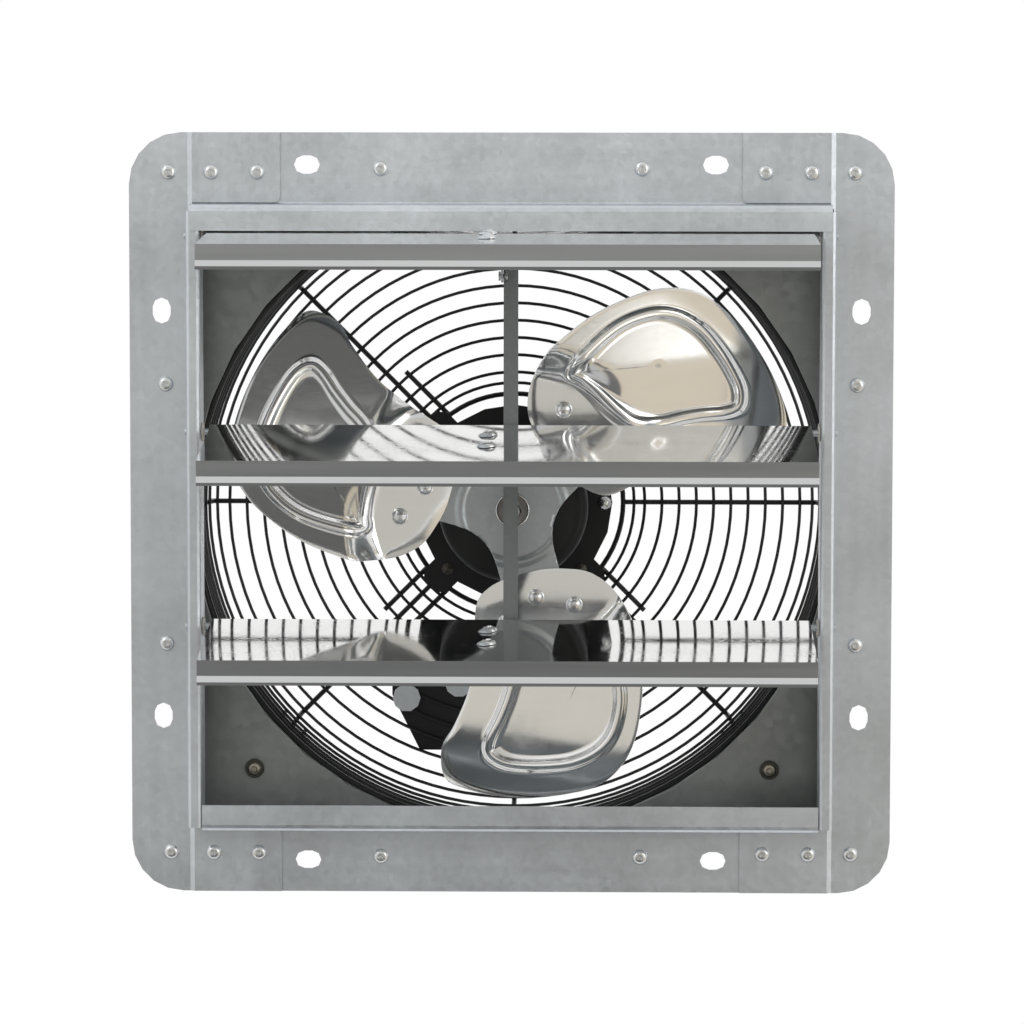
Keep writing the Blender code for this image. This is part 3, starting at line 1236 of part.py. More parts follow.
def box_outline(shrink):
    """Junction box seen from the front: square above, drawn in below."""
    half = BOX_WIDTH / 2 - shrink
    foot = BOX_FOOT_WIDTH / 2
    points = [(-half, BOX_TOP - shrink), (-half, BOX_KNEE), (-foot, BOX_BOTTOM + shrink),
              (foot, BOX_BOTTOM + shrink), (half, BOX_KNEE), (half, BOX_TOP - shrink)]
    points = [(BOX_X + u, v) for u, v in points]
    return rounded(points, [BEND_RADIUS] * len(points), True, 1)


def make_junction_box(fan):
    front = GUARD_DEPTH + RING_WIRE + GAP
    back = front + BOX_DEPTH
    part = fan.add("junction_box", front_plate([box_outline(0.0)], front, back), BLACK_PLASTIC)
    fan.shape(part, "DIFFERENCE", front_plate([box_outline(BOX_WALL)], front + BOX_WALL, back + OVERRUN))
    middle = (front + back) / 2
    neck = GLAND_RADIUS * GLAND_NECK_SHARE
    outlines = [circle(place, BOX_SCREW_RADIUS + GAP, BOLT_STEPS) for place in BOX_CLAMP_PLACES]
    holes = [front_plate([outline], front - OVERRUN, front + OVERRUN) for outline in outlines]
    entry = rod(neck + GAP, -OVERRUN, OVERRUN, BOLT_STEPS)
    fan.shape(part, "DIFFERENCE", joined(holes + [shifted(entry, x=BOX_X, y=middle, z=BOX_TOP)]))
    lid_front = back + GAP
    lid = front_plate([box_outline(0.0)], lid_front, lid_front + BOX_LID_THICKNESS)
    fan.add("junction_box_lid", lid, BLACK_PLASTIC)

    clamp_back = GUARD_DEPTH - RING_WIRE - GAP
    reach = front + BOX_WALL + GAP - clamp_back + BOX_CLAMP_THICKNESS
    profile = [(0.0, 0.0), (BOX_CLAMP_RADIUS, 0.0), (BOX_CLAMP_RADIUS, -BOX_CLAMP_THICKNESS),
               (BOX_SCREW_RADIUS, -BOX_CLAMP_THICKNESS), (BOX_SCREW_RADIUS, -reach), (0.0, -reach)]
    for number, (x, z) in enumerate(BOX_CLAMP_PLACES, start=1):
        place = facing_front_at(x, clamp_back - BOX_CLAMP_THICKNESS, z)
        clamp = moved(turned(profile, BOX_CLAMP_STEPS), place)
        fan.add("box_clamp_screw_" + str(number), clamp, GALVANISED)

    profile = [(neck, GLAND_LENGTH), (GLAND_RADIUS, GLAND_LENGTH * GLAND_CHAMFER_SHARE),
               (GLAND_RADIUS, GAP), (neck, GAP), (neck, -BOX_WALL - GAP), (GLAND_BORE, -BOX_WALL - GAP),
               (GLAND_BORE, GLAND_LENGTH)]
    gland = shifted(turned(profile, BOLT_STEPS, True), x=BOX_X, y=middle, z=BOX_TOP)
    fan.add("cable_gland", gland, PALE_NYLON)


def make_fan():
    clear_scene()
    fan = Assembly("shutter_exhaust_fan")
    make_side_frame(fan, "side_frame_left", -1)
    make_side_frame(fan, "side_frame_right", 1)
    make_cross_frame(fan, "top_frame", 1, RIM_TOP, TOP_LIP_HEIGHT, TOP_LIP_FRONT)
    make_cross_frame(fan, "bottom_frame", -1, RIM_BOTTOM, BOTTOM_LIP_HEIGHT, RIM_FRONT)
    make_bushes(fan)
    make_sleeve(fan)
    make_panel(fan)
    make_guard_back(fan)
    make_guard_side(fan)
    make_guard_bolts(fan)
    make_motor(fan)
    make_motor_mount(fan)
    make_junction_box(fan)

    fan_axis = fan.carrier("fan_axis", (0.0, HUB_DEPTH, FAN_AXIS_HEIGHT))
    make_shaft(fan, fan_axis)
    make_spider(fan, fan_axis)
    make_blades(fan, fan_axis)
    make_hub_nut(fan, fan_axis)

    for name, slope, height in zip(SHUTTER_NAMES, SHUTTER_SLOPES, pivot_heights()):
        axis = fan.carrier("shutter_axis_" + name, (0.0, PIVOT_Y, height))
        make_shutter(fan, name, slope, height, axis)
        make_link_arm(fan, name, slope, height, axis)
    link_height = SHUTTER_TOP_PIVOT - LINK_DROP
    make_tie_bar(fan, fan.carrier("tie_bar_axis", (0.0, PIVOT_Y + LINK_BACK, link_height)))


make_fan()
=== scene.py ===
"""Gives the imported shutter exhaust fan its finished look.

The fan stands in the frame of its CAD model: metres, +Z up, the wall face at y = 0,
outdoors and the shutters towards -Y, the motor and its guard towards +Y.
"""
import math

import bmesh
import bpy
from mathutils import Matrix, Vector
from mathutils.geometry import intersect_line_line_2d


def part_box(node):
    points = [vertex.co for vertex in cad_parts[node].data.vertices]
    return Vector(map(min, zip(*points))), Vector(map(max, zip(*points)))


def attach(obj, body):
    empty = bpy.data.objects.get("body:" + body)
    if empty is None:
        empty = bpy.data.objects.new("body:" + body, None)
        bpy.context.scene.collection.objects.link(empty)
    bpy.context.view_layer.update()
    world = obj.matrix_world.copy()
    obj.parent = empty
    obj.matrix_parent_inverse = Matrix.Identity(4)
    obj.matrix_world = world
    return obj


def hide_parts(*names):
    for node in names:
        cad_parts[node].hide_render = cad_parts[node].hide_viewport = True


bl_info = {
    "name": "Shutter exhaust fan",
    "version": (1, 0, 0),
    "blender": (4, 5, 0),
    "location": "3D View > Sidebar > Exhaust fan",
    "description": "Dresses a packed shutter exhaust fan with its guard, blades, shutters and finishes",
    "category": "Add Mesh",
}

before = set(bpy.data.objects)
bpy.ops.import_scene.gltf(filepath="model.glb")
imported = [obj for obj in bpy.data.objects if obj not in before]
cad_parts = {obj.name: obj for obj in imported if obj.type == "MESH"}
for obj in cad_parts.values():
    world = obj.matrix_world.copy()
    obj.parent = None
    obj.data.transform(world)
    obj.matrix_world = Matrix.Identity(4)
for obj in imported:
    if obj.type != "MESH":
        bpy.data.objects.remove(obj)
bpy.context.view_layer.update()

# Places taken over from the solids
FAN_CENTRE = Vector((0.0, 0.0, -0.002))
HUB_DEPTH = 0.0600
SHUTTER_NAMES = ("top", "middle", "bottom")
SHUTTER_SLOPES = (3.3, 7.7, 7.0)
PIVOT_DEPTH = -0.0135
PIVOT_HEIGHTS = (0.1826, 0.0548, -0.0730)
BLADE_ANGLES = (45.0, 165.0, 285.0)
DIAGONALS = (45.0, 135.0, 225.0, 315.0)
GUARD_BACK = 0.130
GUARD_BASE = 0.0520
GUARD_CORNER_RADIUS = 0.2039
GUARD_BASE_RADIUS = 0.2125
PANEL_BACK = 0.0412
BOLT_PLACE = 0.172
CLEARANCE = 0.0003

# How deep two welded wires sink into each other
WELD = 0.0004


# Sizes and colours

class GuardSizes(bpy.types.PropertyGroup):
    ring_wire: bpy.props.FloatProperty(
        name="Ring wire", description="Radius of the thin rings", default=0.0011, unit="LENGTH")
    spoke_wire: bpy.props.FloatProperty(
        name="Spoke wire", description="Radius of spokes, feet and the hub rings", default=0.0017,
        unit="LENGTH")
    base_wire: bpy.props.FloatProperty(
        name="Base wire", description="Radius of the ring next to the panel", default=0.0024,
        unit="LENGTH")
    ring_pitch: bpy.props.FloatProperty(
        name="Ring pitch", description="Distance between the flat rings", default=0.0118, unit="LENGTH")
    ring_count: bpy.props.IntProperty(
        name="Flat rings", description="Thin rings across the back", default=10, min=1)
    side_count: bpy.props.IntProperty(
        name="Side rings", description="Thin rings round the side", default=6, min=1)


class ShutterSizes(bpy.types.PropertyGroup):
    sheet: bpy.props.FloatProperty(
        name="Sheet", description="Thickness of the shutter sheet", default=0.0008, unit="LENGTH")
    fold: bpy.props.FloatProperty(
        name="Fold radius", description="Radius of the folded front lip", default=0.0016, unit="LENGTH")
    chord: bpy.props.FloatProperty(
        name="Chord", description="Depth of a shutter from rear edge to lip", default=0.116,
        unit="LENGTH")
    width: bpy.props.FloatProperty(
        name="Width", description="Length of a shutter along its pivots", default=0.3926, unit="LENGTH")


class BladeSizes(bpy.types.PropertyGroup):
    reach: bpy.props.FloatProperty(
        name="Reach", description="Tip radius of the blades", default=0.196, unit="LENGTH")
    sheet: bpy.props.FloatProperty(
        name="Sheet", description="Thickness of the blade sheet", default=0.0013, unit="LENGTH")
    pitch: bpy.props.FloatProperty(
        name="Pitch", description="Slope of the outer blade", default=math.radians(18),
        subtype="ANGLE", unit="ROTATION")
    ridge: bpy.props.FloatProperty(
        name="Ridge", description="Height of the pressed ridge", default=0.0036, unit="LENGTH")


def colour_property(name, description, colour):
    return bpy.props.FloatVectorProperty(
        name=name, description=description, default=colour, subtype="COLOR", size=3, min=0.0, max=1.0)


class FanColours(bpy.types.PropertyGroup):
    zinc: colour_property("Zinc", "Galvanised frame", (0.57, 0.605, 0.635))
    # The panel's colour is kept far darker than the frame's zinc: painted shade of its recess behind the
    # frame.
    panel_zinc_with_painted_shade: colour_property("Dull zinc", "Panel behind the shutters, darkened as painted shade", (0.27, 0.285, 0.28))
    tie_bar: colour_property("Tie bar", "Dull zinc of the tie bar", (0.20, 0.215, 0.22))
    # The lip is the same polished sheet as the shutter; its darker grey is a painted dark reflection of the
    # room in front.
    lip_painted_reflection: colour_property("Lip", "Front face of the shutters' lips, darkened as painted reflection", (0.35, 0.365, 0.375))
    polished: colour_property("Polished", "Shutters and blades", (0.80, 0.80, 0.79))
    yellow_zinc: colour_property("Yellow zinc", "Guard bolts", (0.36, 0.33, 0.27))
    spider: colour_property("Spider", "Zinc of the pressed spider", (0.40, 0.43, 0.44))
    washer: colour_property("Washer", "Dark washers of the bolts", (0.07, 0.065, 0.055))
    rivet: colour_property("Rivet", "Rivet heads", (0.66, 0.67, 0.67))
    dust: colour_property("Dust", "Thin film of dust", (0.42, 0.41, 0.38))
    steel: colour_property("Steel", "Shaft, nuts and screws", (0.60, 0.60, 0.59))
    lamination: colour_property("Lamination", "Stator and rotor", (0.28, 0.27, 0.26))
    guard_black: colour_property("Guard black", "Coated wires", (0.014, 0.015, 0.015))
    motor_black: colour_property("Motor black", "Painted motor", (0.012, 0.013, 0.013))
    box_black: colour_property("Box black", "Moulded junction box", (0.016, 0.016, 0.017))
    nylon: colour_property("Nylon", "Bushes and gland", (0.60, 0.57, 0.51))
    floor: colour_property("Floor", "Studio floor", (0.80, 0.80, 0.80))


# Shader groups

def new_group(name, inputs, outputs):
    """A shader node group with named sockets, and its input and output nodes."""
    group = bpy.data.node_groups.new(name, "ShaderNodeTree")
    for label, kind, value in inputs:
        socket = group.interface.new_socket(name=label, in_out="INPUT", socket_type=kind)
        if value is not None:
            socket.default_value = value
    for label, kind in outputs:
        group.interface.new_socket(name=label, in_out="OUTPUT", socket_type=kind)
    return group, group.nodes.new("NodeGroupInput"), group.nodes.new("NodeGroupOutput")


def add_node(tree, kind, settings=None, **values):
    """A node with its properties and socket values; a value may be another node's output."""
    made = tree.nodes.new(kind)
    for label, value in (settings or {}).items():
        setattr(made, label, value)
    for label, value in values.items():
        numbered = label[0] == "i" and label[1:].isdigit()
        socket = made.inputs[int(label[1:]) if numbered else label]
        if isinstance(value, bpy.types.NodeSocket):
            tree.links.new(value, socket)
        else:
            socket.default_value = value
    return made


def maths(tree, operation, *values):
    """A math node on numbers or sockets."""
    made = tree.nodes.new("ShaderNodeMath")
    made.operation = operation
    for socket, value in zip(made.inputs, values):
        if isinstance(value, bpy.types.NodeSocket):
            tree.links.new(value, socket)
        else:
            socket.default_value = value
    return made.outputs[0]


def remapped(tree, value, low, high, start=0.0, end=1.0):
    made = add_node(tree, "ShaderNodeMapRange", {"clamp": True}, Value=value)
    made.inputs["From Min"].default_value = low
    made.inputs["From Max"].default_value = high
    made.inputs["To Min"].default_value = start
    made.inputs["To Max"].default_value = end
    return made.outputs[0]


def noise(tree, vector, scale, detail=3.0, roughness=0.5):
    made = add_node(tree, "ShaderNodeTexNoise", Vector=vector, Detail=detail, Roughness=roughness)
    if isinstance(scale, bpy.types.NodeSocket):
        tree.links.new(scale, made.inputs["Scale"])
    else:
        made.inputs["Scale"].default_value = scale
    return made.outputs["Fac"]


def make_mottle_group():
    """Soft clouds and crystals of a zinc coat."""
    group, given, result = new_group(
        "Zinc mottle",
        [("Vector", "NodeSocketVector", None), ("Crystal Scale", "NodeSocketFloat", 260.0),
         ("Cloud Scale", "NodeSocketFloat", 9.0)],
        [("Shade", "NodeSocketFloat"), ("Roughness", "NodeSocketFloat"), ("Height", "NodeSocketFloat")])
    crystals = add_node(group, "ShaderNodeTexVoronoi", {"feature": "F1"}, Vector=given.outputs["Vector"],
                        Scale=given.outputs["Crystal Scale"])
    tint = add_node(group, "ShaderNodeSeparateColor", Color=crystals.outputs["Color"])
    clouds = noise(group, given.outputs["Vector"], given.outputs["Cloud Scale"], 4.0, 0.6)
    grain = noise(group, given.outputs["Vector"], 900.0, 2.0)
    facets = remapped(group, tint.outputs["Red"], 0.0, 1.0, -0.035, 0.035)
    drift = remapped(group, clouds, 0.3, 0.7, -0.10, 0.10)
    shade = maths(group, "ADD", maths(group, "ADD", facets, drift), 1.0)
    rough = maths(group, "ADD", remapped(group, tint.outputs["Green"], 0.0, 1.0, -0.05, 0.05),
                  remapped(group, clouds, 0.3, 0.7, -0.04, 0.05))
    group.links.new(shade, result.inputs["Shade"])
    group.links.new(rough, result.inputs["Roughness"])
    group.links.new(maths(group, "ADD", maths(group, "MULTIPLY", grain, 0.5),
                          maths(group, "MULTIPLY", tint.outputs["Blue"], 0.25)), result.inputs["Height"])
    return group


def make_rolling_group():
    """Fine lines left by rolling or brushing, drawn out along one direction."""
    group, given, result = new_group(
        "Rolling lines",
        [("Vector", "NodeSocketVector", None), ("Stretch", "NodeSocketVector", (1.0, 1.0, 1.0))],
        [("Lines", "NodeSocketFloat"), ("Streaks", "NodeSocketFloat")])
    drawn = add_node(group, "ShaderNodeVectorMath", {"operation": "MULTIPLY"})
    group.links.new(given.outputs["Vector"], drawn.inputs[0])
    group.links.new(given.outputs["Stretch"], drawn.inputs[1])
    fine = noise(group, drawn.outputs[0], 900.0, 3.0, 0.6)
    broad = noise(group, drawn.outputs[0], 120.0, 2.0)
    group.links.new(fine, result.inputs["Lines"])
    group.links.new(broad, result.inputs["Streaks"])
    return group


def make_smudge_group():
    """Faint fingerprints and wiping marks that dull a bright surface here and there."""
    group, given, result = new_group(
        "Smudges", [("Vector", "NodeSocketVector", None), ("Scale", "NodeSocketFloat", 14.0)],
        [("Mask", "NodeSocketFloat")])
    patches = noise(group, given.outputs["Vector"], given.outputs["Scale"], 5.0, 0.65)
    wiping = noise(group, given.outputs["Vector"], 70.0, 3.0, 0.7)
    mask = maths(group, "MULTIPLY", remapped(group, patches, 0.48, 0.72), remapped(group, wiping, 0.3, 0.7))
    group.links.new(mask, result.inputs["Mask"])
    return group


def make_dust_group():
    """A thin film of dust where the surface faces up."""
    group, given, result = new_group(
        "Dust film", [("Vector", "NodeSocketVector", None), ("Normal", "NodeSocketVector", None)],
        [("Mask", "NodeSocketFloat")])
    parts = add_node(group, "ShaderNodeSeparateXYZ", Vector=given.outputs["Normal"])
    upward = remapped(group, parts.outputs["Z"], 0.35, 1.0)
    specks = noise(group, given.outputs["Vector"], 420.0, 3.0, 0.7)
    drift = noise(group, given.outputs["Vector"], 18.0, 3.0)
    mask = maths(group, "MULTIPLY", upward, maths(group, "MULTIPLY", remapped(group, specks, 0.45, 0.75),
                                                  remapped(group, drift, 0.35, 0.75)))
    group.links.new(mask, result.inputs["Mask"])
    return group


def make_coat_group():
    """The slightly uneven skin of paint, powder coat or moulded plastic."""
    group, given, result = new_group(
        "Paint skin", [("Vector", "NodeSocketVector", None), ("Grain Scale", "NodeSocketFloat", 700.0)],
        [("Height", "NodeSocketFloat"), ("Variation", "NodeSocketFloat")])
    peel = noise(group, given.outputs["Vector"], given.outputs["Grain Scale"], 3.0, 0.6)
    patches = noise(group, given.outputs["Vector"], 30.0, 3.0)
    group.links.new(peel, result.inputs["Height"])
    group.links.new(patches, result.inputs["Variation"])
    return group


GROUP_MAKERS = {"Zinc mottle": make_mottle_group, "Rolling lines": make_rolling_group,
                "Smudges": make_smudge_group, "Dust film": make_dust_group, "Paint skin": make_coat_group}


class Finish:
    """One material that is put together from the shared groups."""

    def __init__(self, name, colour, metallic, roughness):
        self.material = bpy.data.materials.new(name)
        self.material.use_nodes = True
        self.tree = self.material.node_tree
        self.shader = self.tree.nodes["Principled BSDF"]
        self.place = self.tree.nodes.new("ShaderNodeTexCoord").outputs["Object"]
        self.normal = self.tree.nodes.new("ShaderNodeNewGeometry").outputs["Normal"]
        self.colour = (*colour, 1.0)
        self.shader.inputs["Metallic"].default_value = metallic
        self.roughness = roughness
        self.shade = None
        self.rough_changes = []
        self.bumps = []
        self.dust = None

    def group(self, name, **values):
        made = self.tree.nodes.new("ShaderNodeGroup")
        made.node_tree = bpy.data.node_groups.get(name) or GROUP_MAKERS[name]()
        self.tree.links.new(self.place, made.inputs["Vector"])
        for label, value in values.items():
            made.inputs[label.replace("_", " ")].default_value = value
        return made.outputs

    def darken(self, value):
        """Multiply the colour's brightness by a value near 1."""
        self.shade = value if self.shade is None else maths(self.tree, "MULTIPLY", self.shade, value)

    def mottled(self, strength=1.0, crystals=260.0, clouds=9.0):
        given = self.group("Zinc mottle", Crystal_Scale=crystals, Cloud_Scale=clouds)
        offset = maths(self.tree, "SUBTRACT", given["Shade"], 1.0)
        self.darken(maths(self.tree, "MULTIPLY_ADD", offset, strength, 1.0))
        self.rough_changes.append(maths(self.tree, "MULTIPLY", given["Roughness"], strength))
        self.bumps.append((given["Height"], 0.05 * strength, 0.0004))
        return self

    def rolled(self, stretch, contrast=0.04, depth=0.04):
        given = self.group("Rolling lines", Stretch=stretch)
        self.darken(remapped(self.tree, given["Streaks"], 0.25, 0.75, 1.0 - contrast, 1.0 + contrast))
        self.rough_changes.append(remapped(self.tree, given["Lines"], 0.2, 0.8, -0.04, 0.04))
        self.bumps.append((given["Lines"], depth, 0.0002))
        return self

    def smudged(self, amount=0.14, scale=14.0):
        given = self.group("Smudges", Scale=scale)
        self.rough_changes.append(maths(self.tree, "MULTIPLY", given["Mask"], amount))
        return self

    def dusty(self, amount=0.3):
        given = self.group("Dust film")
        self.tree.links.new(self.normal, given["Mask"].node.inputs["Normal"])
        self.dust = maths(self.tree, "MULTIPLY", given["Mask"], amount)
        self.rough_changes.append(maths(self.tree, "MULTIPLY", given["Mask"], 0.25))
        return self

    def coated(self, grain=700.0, depth=0.08):
        given = self.group("Paint skin", Grain_Scale=grain)
        self.shader.inputs["Specular IOR Level"].default_value = 0.25
        self.darken(remapped(self.tree, given["Variation"], 0.3, 0.7, 0.82, 1.2))
        self.rough_changes.append(remapped(self.tree, given["Variation"], 0.3, 0.7, -0.05, 0.06))
        self.bumps.append((given["Height"], depth, 0.0004))
        return self

    def done(self):
        tree = self.tree
        colour = None
        if self.shade is not None:
            scaled = add_node(tree, "ShaderNodeVectorMath", {"operation": "SCALE"}, Scale=self.shade)
            scaled.inputs[0].default_value = self.colour[:3]
            colour = scaled.outputs[0]
        if self.dust is not None:
            mixed = add_node(tree, "ShaderNodeMix", {"data_type": "RGBA"}, i0=self.dust)
            if colour is None:
                mixed.inputs[6].default_value = self.colour
            else:
                tree.links.new(colour, mixed.inputs[6])
            mixed.inputs[7].default_value = (*bpy.context.scene.fan_colours.dust, 1.0)
            colour = mixed.outputs[2]
        if colour is None:
            self.shader.inputs["Base Color"].default_value = self.colour
        else:
            tree.links.new(colour, self.shader.inputs["Base Color"])
        if self.rough_changes:
            total = self.roughness
            for change in self.rough_changes:
                total = maths(tree, "ADD", total, change)
            tree.links.new(remapped(tree, total, 0.02, 1.0, 0.02, 1.0), self.shader.inputs["Roughness"])
        else:
            self.shader.inputs["Roughness"].default_value = self.roughness
        normal = None
        for height, strength, distance in self.bumps:
            bump = add_node(tree, "ShaderNodeBump", Height=height, Strength=strength, Distance=distance)
            if normal is not None:
                tree.links.new(normal, bump.inputs["Normal"])
            normal = bump.outputs["Normal"]
        if normal is not None:
            tree.links.new(normal, self.shader.inputs["Normal"])
        return self.material


ALONG_X = (0.03, 1.0, 1.0)
ALONG_Z = (1.0, 1.0, 0.03)
LAMINATIONS = (0.05, 4.0, 0.05)


def finishes(colours):
    """Every finish of the fan, by its plain name."""
    return {
        "frame_side": Finish("Zinc of the side frames", colours.zinc, 0.92, 0.40)
        .mottled().rolled(ALONG_Z).smudged(0.06).done(),
        "frame_cross": Finish("Zinc of the cross frames", colours.zinc, 0.92, 0.40)
        .mottled().rolled(ALONG_X).smudged(0.06).done(),
        "sleeve": Finish("Zinc of the sleeve", colours.zinc, 0.92, 0.42).mottled().done(),
        # Panel: its darker zinc colour is painted shade of the recess.
        "panel": Finish("Zinc of the panel with painted shade", colours.panel_zinc_with_painted_shade, 0.85, 0.42)
        .mottled(1.3, 180.0).smudged(0.10).done(),
        "spider": Finish("Zinc of the spider", colours.spider, 0.90, 0.36).mottled(0.8, 420.0).done(),
        "linkage": Finish("Zinc of the linkage", colours.zinc, 0.90, 0.45)
        .mottled(0.7, 420.0).rolled(ALONG_Z, 0.03).done(),
        "shutter": Finish("Mirror sheet of the shutters", colours.polished, 1.0, 0.04)
        .rolled(ALONG_X, 0.015, 0.002).smudged(0.05).dusty(0.02).done(),
        "blade": Finish("Mirror sheet of the blades", colours.polished, 1.0, 0.12)
        .rolled(ALONG_X, 0.015, 0.004).smudged(0.14, 20.0).done(),
        "tie_bar": Finish("Dull zinc of the tie bar", colours.tie_bar, 0.88, 0.40)
        .mottled(0.8, 420.0).rolled(ALONG_Z, 0.05).done(),
        # Lip: same sheet as the shutter, with a darker colour as painted dark reflection.
        "lip_painted_reflection": Finish("Lip face with painted dark reflection", colours.lip_painted_reflection, 0.95, 0.34)
        .rolled(ALONG_X, 0.08, 0.02).done(),
        "washer": Finish("Dark washers", colours.washer, 0.8, 0.38).mottled(1.0, 900.0, 60.0).done(),
        "rivet": Finish("Rivet metal", colours.rivet, 1.0, 0.26).smudged(0.2, 160.0).done(),
        "bolt": Finish("Yellow zinc", colours.yellow_zinc, 0.95, 0.34).mottled(1.2, 900.0, 60.0).done(),
        "steel": Finish("Turned steel", colours.steel, 1.0, 0.26).rolled(ALONG_Z, 0.04).done(),
        "core": Finish("Laminated core", colours.lamination, 0.8, 0.48)
        .rolled(LAMINATIONS, 0.2, 0.3).done(),
        "wire": Finish("Guard wire coat", colours.guard_black, 0.0, 0.34).coated(500.0, 0.10).done(),
        "motor": Finish("Motor paint", colours.motor_black, 0.0, 0.42)
        .coated(420.0, 0.16).dusty(0.10).done(),
        "box": Finish("Box plastic", colours.box_black, 0.0, 0.50).coated(900.0, 0.20).dusty(0.12).done(),
        "nylon": Finish("Nylon", colours.nylon, 0.0, 0.45).coated(600.0, 0.05).done(),
    }


FINISH_STORE = {}


def finish(name):
    """A finish by name; all are made the first time that one is asked for."""
    if not FINISH_STORE:
        FINISH_STORE.update(finishes(bpy.context.scene.fan_colours))
    return FINISH_STORE[name]


# Shapes

def turned_by(angle):
    """Turn about the fan's axis, in degrees, anticlockwise seen from outdoors."""
    return Matrix.Translation(FAN_CENTRE) @ Matrix.Rotation(math.radians(-angle), 4, "Y")


def on_shutter(index):
    """From a shutter's own frame, about its pivot, to its place at rest."""
    tip = Matrix.Rotation(math.radians(SHUTTER_SLOPES[index]), 4, "X")
    return Matrix.Translation((0.0, PIVOT_DEPTH, PIVOT_HEIGHTS[index])) @ tip


def new_verts(geometry):
    return [item for item in geometry if isinstance(item, bmesh.types.BMVert)]


def new_edges(geometry):
    return [item for item in geometry if isinstance(item, bmesh.types.BMEdge)]


def ring_wire(work, radius, depth, thickness, steps, sides=8):
    """A round wire bent to a full ring about the fan's axis."""
    place = Matrix.Translation(FAN_CENTRE + Vector((radius, depth, 0.0)))
    section = bmesh.ops.create_circle(work, segments=sides, radius=thickness, matrix=place)["verts"]
    edges = list({edge for vert in section for edge in vert.link_edges})
    bmesh.ops.spin(work, geom=section + edges, cent=FAN_CENTRE, axis=(0.0, 1.0, 0.0),
                   angle=math.tau, steps=steps, use_merge=True)


def bent_wire(work, path, thickness, sides=8, place=Matrix.Identity(4)):
    """A round wire swept along a path of points, closed at both ends."""
    points = [Vector(point) for point in path]
    runs = [(after - before).normalized() for before, after in zip(points, points[1:])]
    aims = [runs[0]] + [(before + after).normalized() for before, after in zip(runs, runs[1:])] + [runs[-1]]
    turn = Vector((0.0, 0.0, 1.0)).rotation_difference(aims[0])
    here = Matrix.Translation(points[0]) @ turn.to_matrix().to_4x4()
    loop = bmesh.ops.create_circle(work, cap_ends=True, segments=sides, radius=thickness,
                                   matrix=place @ here)["verts"]
    edges = list({edge for vert in loop for edge in vert.link_edges})
    aim = aims[0]
    for point, following in zip(points[1:], aims[1:]):
        turn = aim.rotation_difference(following) @ turn
        there = Matrix.Translation(point) @ turn.to_matrix().to_4x4()
        grown = bmesh.ops.extrude_edge_only(work, edges=edges)["geom"]
        step = place @ there @ here.inverted() @ place.inverted()
        bmesh.ops.transform(work, matrix=step, verts=new_verts(grown))
        verts = set(new_verts(grown))
        edges = [edge for edge in new_edges(grown) if set(edge.verts) <= verts]
        here, aim = there, following
    bmesh.ops.contextual_create(work, geom=edges)


def straight_wire(work, start, end, thickness, place=Matrix.Identity(4), sides=8):
    """A straight round wire with capped ends."""
    start, end = Vector(start), Vector(end)
    turn = Vector((0.0, 0.0, 1.0)).rotation_difference((end - start).normalized()).to_matrix().to_4x4()
    bmesh.ops.create_cone(work, cap_ends=True, segments=sides, radius1=thickness, radius2=thickness,
                          depth=(end - start).length,
                          matrix=place @ Matrix.Translation((start + end) / 2) @ turn)


def lathe(work, profile, place, steps=48, closed=False):
    """Spin a profile of (radius, height) points about Z, then put it in place."""
    points = [work.verts.new((radius, 0.0, height)) for radius, height in profile]
    pairs = list(zip(points, points[1:])) + ([(points[-1], points[0])] if closed else [])
    edges = [work.edges.new(pair) for pair in pairs]
    made = set(points)
    bmesh.ops.spin(work, geom=points + edges, cent=(0.0, 0.0, 0.0), axis=(0.0, 0.0, 1.0),
                   angle=math.tau, steps=steps, use_merge=True)
    front = list(points)
    while front:
        vert = front.pop()
        for edge in vert.link_edges:
            other = edge.other_vert(vert)
            if other not in made:
                made.add(other)
                front.append(other)
    bmesh.ops.transform(work, matrix=place, verts=list(made))


def prism(work, outline, low, high, place):
    """A flat outline filled and raised from one height to another, then put in place."""
    verts = [work.verts.new((u, v, low)) for u, v in outline]
    edges = [work.edges.new(pair) for pair in zip(verts, verts[1:] + verts[:1])]
    face = bmesh.ops.contextual_create(work, geom=edges)["faces"]
    grown = bmesh.ops.extrude_face_region(work, geom=face)["geom"]
    bmesh.ops.translate(work, verts=new_verts(grown), vec=(0.0, 0.0, high - low))
    bmesh.ops.transform(work, matrix=place, verts=verts + new_verts(grown))


def folded(work, profile, left, right, radius, steps=5):
    """A sheet folded along lines that run along X; the profile is (y, z) points."""
    verts = [work.verts.new((left, y, z)) for y, z in profile]
    edges = [work.edges.new(pair) for pair in zip(verts, verts[1:])]
    grown = bmesh.ops.extrude_edge_only(work, edges=edges)["geom"]
    bmesh.ops.translate(work, verts=new_verts(grown), vec=(right - left, 0.0, 0.0))
    folds = [edge for edge in new_edges(grown) if len(edge.link_faces) == 2]
    bmesh.ops.bevel(work, geom=folds, offset=radius, offset_type="OFFSET", segments=steps, profile=0.5,
                    affect="EDGES", material=-1)


def arc(centre, radius, start, end, steps):
    """Points of an arc from one angle to another, in degrees."""
    angles = [math.radians(start + (end - start) * step / steps) for step in range(steps + 1)]
    return [(centre[0] + radius * math.cos(angle), centre[1] + radius * math.sin(angle))
            for angle in angles]


def facing_front(x, y, z):
    """Place a shape that stands on +Z so that it faces outdoors."""
    return Matrix.Translation((x, y, z)) @ Matrix.Rotation(math.radians(90), 4, "X")


def facing_indoors(depth):
    """Place a turned shape on the fan's axis so that its heights run indoors."""
    backwards = Matrix.Rotation(math.radians(-90), 4, "X")
    return Matrix.Translation(FAN_CENTRE + Vector((0.0, depth, 0.0))) @ backwards


def smooth_share(value, start, end):
    share = min(max((value - start) / (end - start), 0.0), 1.0)
    return share * share * (3 - 2 * share)


